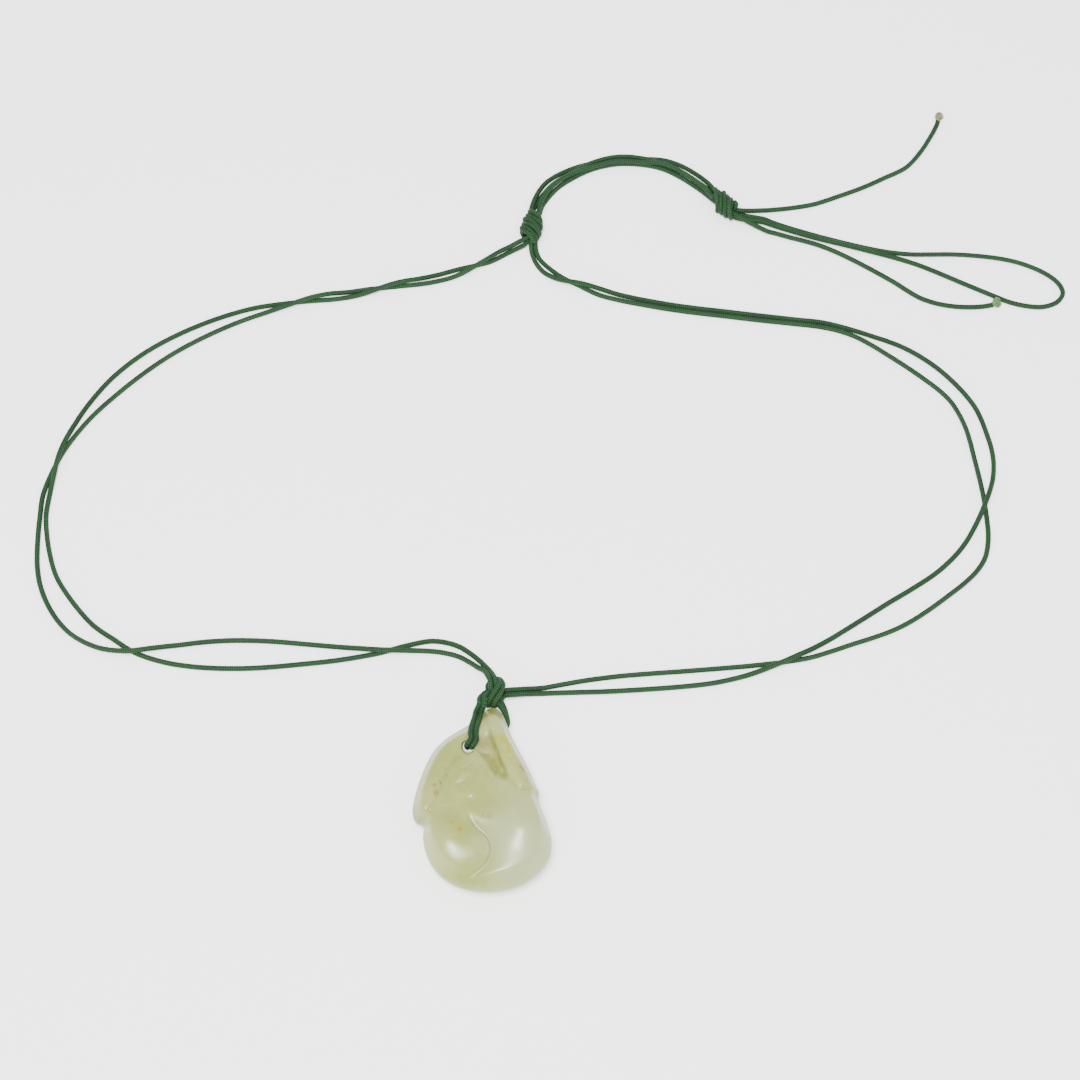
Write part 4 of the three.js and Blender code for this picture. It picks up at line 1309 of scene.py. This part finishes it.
@dataclass
class BraidedCord:
    """One free run of the braid as a fine tube whose surface carries its yarns."""

    name: str
    layout: CordLayout
    route: InitVar[Route]
    sides: int = 16
    ring_gap: float = 0.3
    yarn_relief: float = 0.05
    lowest: float = 0.01

    def __post_init__(self, route: Route) -> None:
        """Works out the centre line of the tube.

        Args:
            route: its places, measured from the knot at the toggle.
        """
        knot = np.array([*self.layout.knot, 0.0])
        line = smooth_line([tuple(np.array(p) + knot) for p in route], fine=16)
        line[:, 2] = np.maximum(line[:, 2], self.layout.diameter / 2)
        self.line = evenly_spaced(line, self.ring_gap)

    def frames(self) -> tuple[Points, Points]:
        """Two sideways directions at each place, turned as little as possible.

        Returns:
            The first and the second direction, one row for each place.
        """
        heading = np.gradient(self.line, axis=0)
        heading /= np.linalg.norm(heading, axis=1)[:, None]
        side = np.cross(heading[0], [0.0, 0.0, 1.0])
        sides = []
        for way in heading:
            side = side - way * float(side @ way)
            side = side / np.linalg.norm(side)
            sides.append(side)
        first = np.array(sides)
        return first, np.cross(heading, first)

    def skin(self, along: Points) -> Points:
        """Places on the tube's surface, with the yarns standing out a little.

        Args:
            along: distance along the cord of each ring.

        Returns:
            The places, ring after ring, one row each.
        """
        first, second = self.frames()
        turn = np.arange(self.sides) / self.sides
        phase = 2 * np.pi * along[:, None] / YARN_PITCH
        yarns = 2 * np.pi * YARNS * turn[None, :]
        relief = self.yarn_relief * np.sin(yarns + phase) * np.sin(yarns - phase)
        radius = (self.layout.diameter / 2 + relief)[..., None]
        angle = 2 * np.pi * turn[None, :, None]
        outwards = np.cos(angle) * first[:, None] + np.sin(angle) * second[:, None]
        places = (self.line[:, None] + radius * outwards).reshape(-1, 3)
        places[:, 2] = np.maximum(places[:, 2], self.lowest)
        return places

    def mesh(self) -> bpy.types.Mesh:
        """Makes the tube's mesh with its map: turns across, millimetres along.

        Returns:
            The mesh.
        """
        rings, sides = len(self.line), self.sides
        along = np.arange(rings) * line_length(self.line) / (rings - 1)
        faces, maps = [], []
        for i in range(rings - 1):
            for j in range(sides):
                k = (j + 1) % sides
                faces.append((i * sides + j, i * sides + k, (i + 1) * sides + k, (i + 1) * sides + j))
                low, high = j / sides, (j + 1) / sides
                maps += [low, along[i], high, along[i], high, along[i + 1], low, along[i + 1]]
        faces += [tuple(range(sides))[::-1], tuple(range((rings - 1) * sides, rings * sides))]
        maps += [0.5, 0.0] * (2 * sides)
        mesh = bpy.data.meshes.new(self.name)
        mesh.from_pydata((self.skin(along) * MILLIMETRE).tolist(), [], faces)
        mesh.uv_layers.new(name=BRAID_MAP).data.foreach_set("uv", maps)
        mesh.polygons.foreach_set("use_smooth", [True] * len(faces))
        mesh.update()
        return mesh

    def build(
        self, material: bpy.types.Material, far_end: str, replaced: Sequence[str],
        pieces: Sequence[bpy.types.Object] = (),
    ) -> bpy.types.Object:
        """Args:
            material: the braid's finish.
            far_end: how the cord ends; not used.
            replaced: CAD nodes that it stands for.
            pieces: separate pieces on it; not used.

        Returns:
            The finished cord.
        """
        cord = bpy.data.objects.new(self.name, self.mesh())
        bpy.context.scene.collection.objects.link(cord)
        settle(cord, self.name, material)
        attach(cord, "root")
        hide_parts(*replaced)
        LOG.info("%s: %.0f mm long, %d faces", self.name, line_length(self.line), len(cord.data.polygons))
        return cord


@dataclass
class MeltedEnd:
    """The swollen melted end of a tail."""

    name: str
    width: float
    length: float
    flare: float = 0.6
    lumps: float = 0.12
    ahead: float = 0.3  # share of its length by which its middle is past the cord's end

    def build(self, cord: BraidedCord, material: bpy.types.Material) -> bpy.types.Object:
        """Shapes the end from a sphere and puts it on the cord's last place.

        Args:
            cord: the cord that it ends.
            material: its finish.

        Returns:
            The finished end.
        """
        tip = cord.line[-1]
        heading = tip - cord.line[-8]
        turn = math.atan2(heading[1], heading[0])
        place = tip + heading / np.linalg.norm(heading) * self.length * self.ahead
        place[2] = max(place[2], self.width / 2)
        deselect_all()
        bpy.ops.mesh.primitive_uv_sphere_add(
            segments=24, ring_count=16, radius=0.5,
            location=place * MILLIMETRE, rotation=(0, math.pi / 2, turn),
        )
        end = bpy.context.object
        end.scale = (self.width * MILLIMETRE, self.width * MILLIMETRE, self.length * MILLIMETRE)
        for vertex in end.data.vertices:
            lump = math.sin(9 * vertex.co.x + 2) * math.sin(8 * vertex.co.y) * math.sin(7 * vertex.co.z + 1)
            vertex.co *= 1 + self.lumps * lump
            vertex.co.x *= 1 + self.flare * vertex.co.z
            vertex.co.y *= 1 + self.flare * vertex.co.z
        bpy.ops.object.shade_smooth()
        settle(end, self.name, material)
        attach(end, "root")
        return end


@dataclass
class Studio:
    """Camera, pale floor and a soft light. Places and sizes of the floor and the light are in metres."""

    look_at: Place = (14.1, 76.12, 0.0)
    distance: float = 700.0
    elevation_degrees: float = 60.0
    lens: float = 89.43
    floor_colour: Colour = linear(247, 247, 246)
    floor_glow: float = 0.8
    floor_size_metres: float = 6.0
    floor_gap_metres: float = 0.00003
    sky_colour: Colour = (0.95, 0.97, 1.0, 1.0)
    sky_strength: float = 1.5
    light_place_metres: Place = (-0.08, -0.3, 1.0)
    light_aim_metres: Place = (0.0, 0.03, 0.0)
    light_side_metres: float = 0.3
    light_watts: float = 21.0

    def camera(self) -> bpy.types.Object:
        """Puts the camera where the photo was taken from.

        Returns:
            The camera.
        """
        rise = math.radians(self.elevation_degrees)
        target = Vector(self.look_at) * MILLIMETRE
        back = Vector((0.0, -math.cos(rise), math.sin(rise)))
        data = bpy.data.cameras.new("camera")
        data.lens = self.lens
        data.sensor_width = 36.0
        data.clip_start = 0.01
        data.clip_end = 20.0
        camera = bpy.data.objects.new("camera", data)
        camera.location = target + back * self.distance * MILLIMETRE
        camera.rotation_euler = (-back).to_track_quat("-Z", "Y").to_euler()
        bpy.context.scene.collection.objects.link(camera)
        bpy.context.scene.camera = camera
        return camera

    def floor(self) -> bpy.types.Object:
        """Lays the plain pale floor.

        Returns:
            The floor.
        """
        deselect_all()
        place = (0, 0, -self.floor_gap_metres)
        bpy.ops.mesh.primitive_plane_add(size=self.floor_size_metres, location=place)
        floor = bpy.context.object
        floor.name = "floor"
        board = NodeBoard("pale_floor")
        board.shade(Base_Color=self.floor_colour, Roughness=0.85, Specular_IOR_Level=0.15,
                    Emission_Color=linear(255, 255, 255), Emission_Strength=self.floor_glow)
        floor.data.materials.append(board.material)
        return floor

    def light(self) -> None:
        """Hangs the soft square light that faces the toggle."""
        data = bpy.data.lights.new("front_softbox", "AREA")
        data.shape, data.size, data.energy = "SQUARE", self.light_side_metres, self.light_watts
        light = bpy.data.objects.new("front_softbox", data)
        light.location = self.light_place_metres
        aim = Vector(self.light_aim_metres) - Vector(self.light_place_metres)
        light.rotation_euler = aim.to_track_quat("-Z", "Y").to_euler()
        bpy.context.scene.collection.objects.link(light)

    def surrounding(self) -> None:
        """Makes the pale surrounding."""
        world = bpy.data.worlds.new("pale_studio")
        world.use_nodes = True
        background = world.node_tree.nodes["Background"]
        background.inputs["Color"].default_value = self.sky_colour
        background.inputs["Strength"].default_value = self.sky_strength
        bpy.context.scene.world = world


def dress_cord(layout: CordLayout) -> None:
    """Builds the three free runs of the braid and the two melted ends.

    Args:
        layout: the cord's routes.
    """
    braid = BraidFinish().make()
    brown_tip = MeltedFinish("brown_tip", linear(92, 88, 58), linear(128, 124, 92)).make()
    green_tip = MeltedFinish("green_tip", linear(46, 86, 36), linear(96, 128, 70)).make()
    upper = BraidedCord("cord_to_upper_tail", layout, layout.tail_strand(Strand.RIGHT))
    lower = BraidedCord("cord_to_lower_tail", layout, layout.tail_strand(Strand.LEFT))
    looped = BraidedCord("cord_with_end_loop", layout, layout.loop_strand())
    upper_end = MeltedEnd("melted_end_upper", 2.4, 2.8).build(upper, brown_tip)
    lower_end = MeltedEnd("melted_end_lower", 2.8, 2.5).build(lower, green_tip)
    by_upper = [
        "toggle_loop_right", "neck_cord_right_outer", "sliding_knot_near", "closure_cord_3", "free_end_upper",
    ]
    by_lower = ["toggle_loop_left", "neck_cord_right_inner", "closure_cord_4", "free_end_lower"]
    by_looped = [
        "toggle_knot", "neck_cord_left_lower", "neck_cord_left_upper", "end_loop", "sliding_knot_far",
        "closure_cord_1", "closure_cord_2",
    ]
    upper.build(braid, "bare", by_upper, [upper_end])
    lower.build(braid, "bare", by_lower, [lower_end])
    looped.build(braid, "object", by_looped)


def main() -> None:
    """Builds the camera, the cord, the stone, the floor and the light."""
    logging.basicConfig(level=logging.INFO, format="%(name)s: %(message)s")
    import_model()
    studio = Studio()
    studio.camera()
    form = CarvedForm()
    hole = CordHole(form)
    dress_cord(CordLayout(form, hole))
    Jade(form, hole).build(JadeFinish(form).make())
    studio.floor()
    studio.surrounding()
    studio.light()


if __name__ == "__main__":
    main()
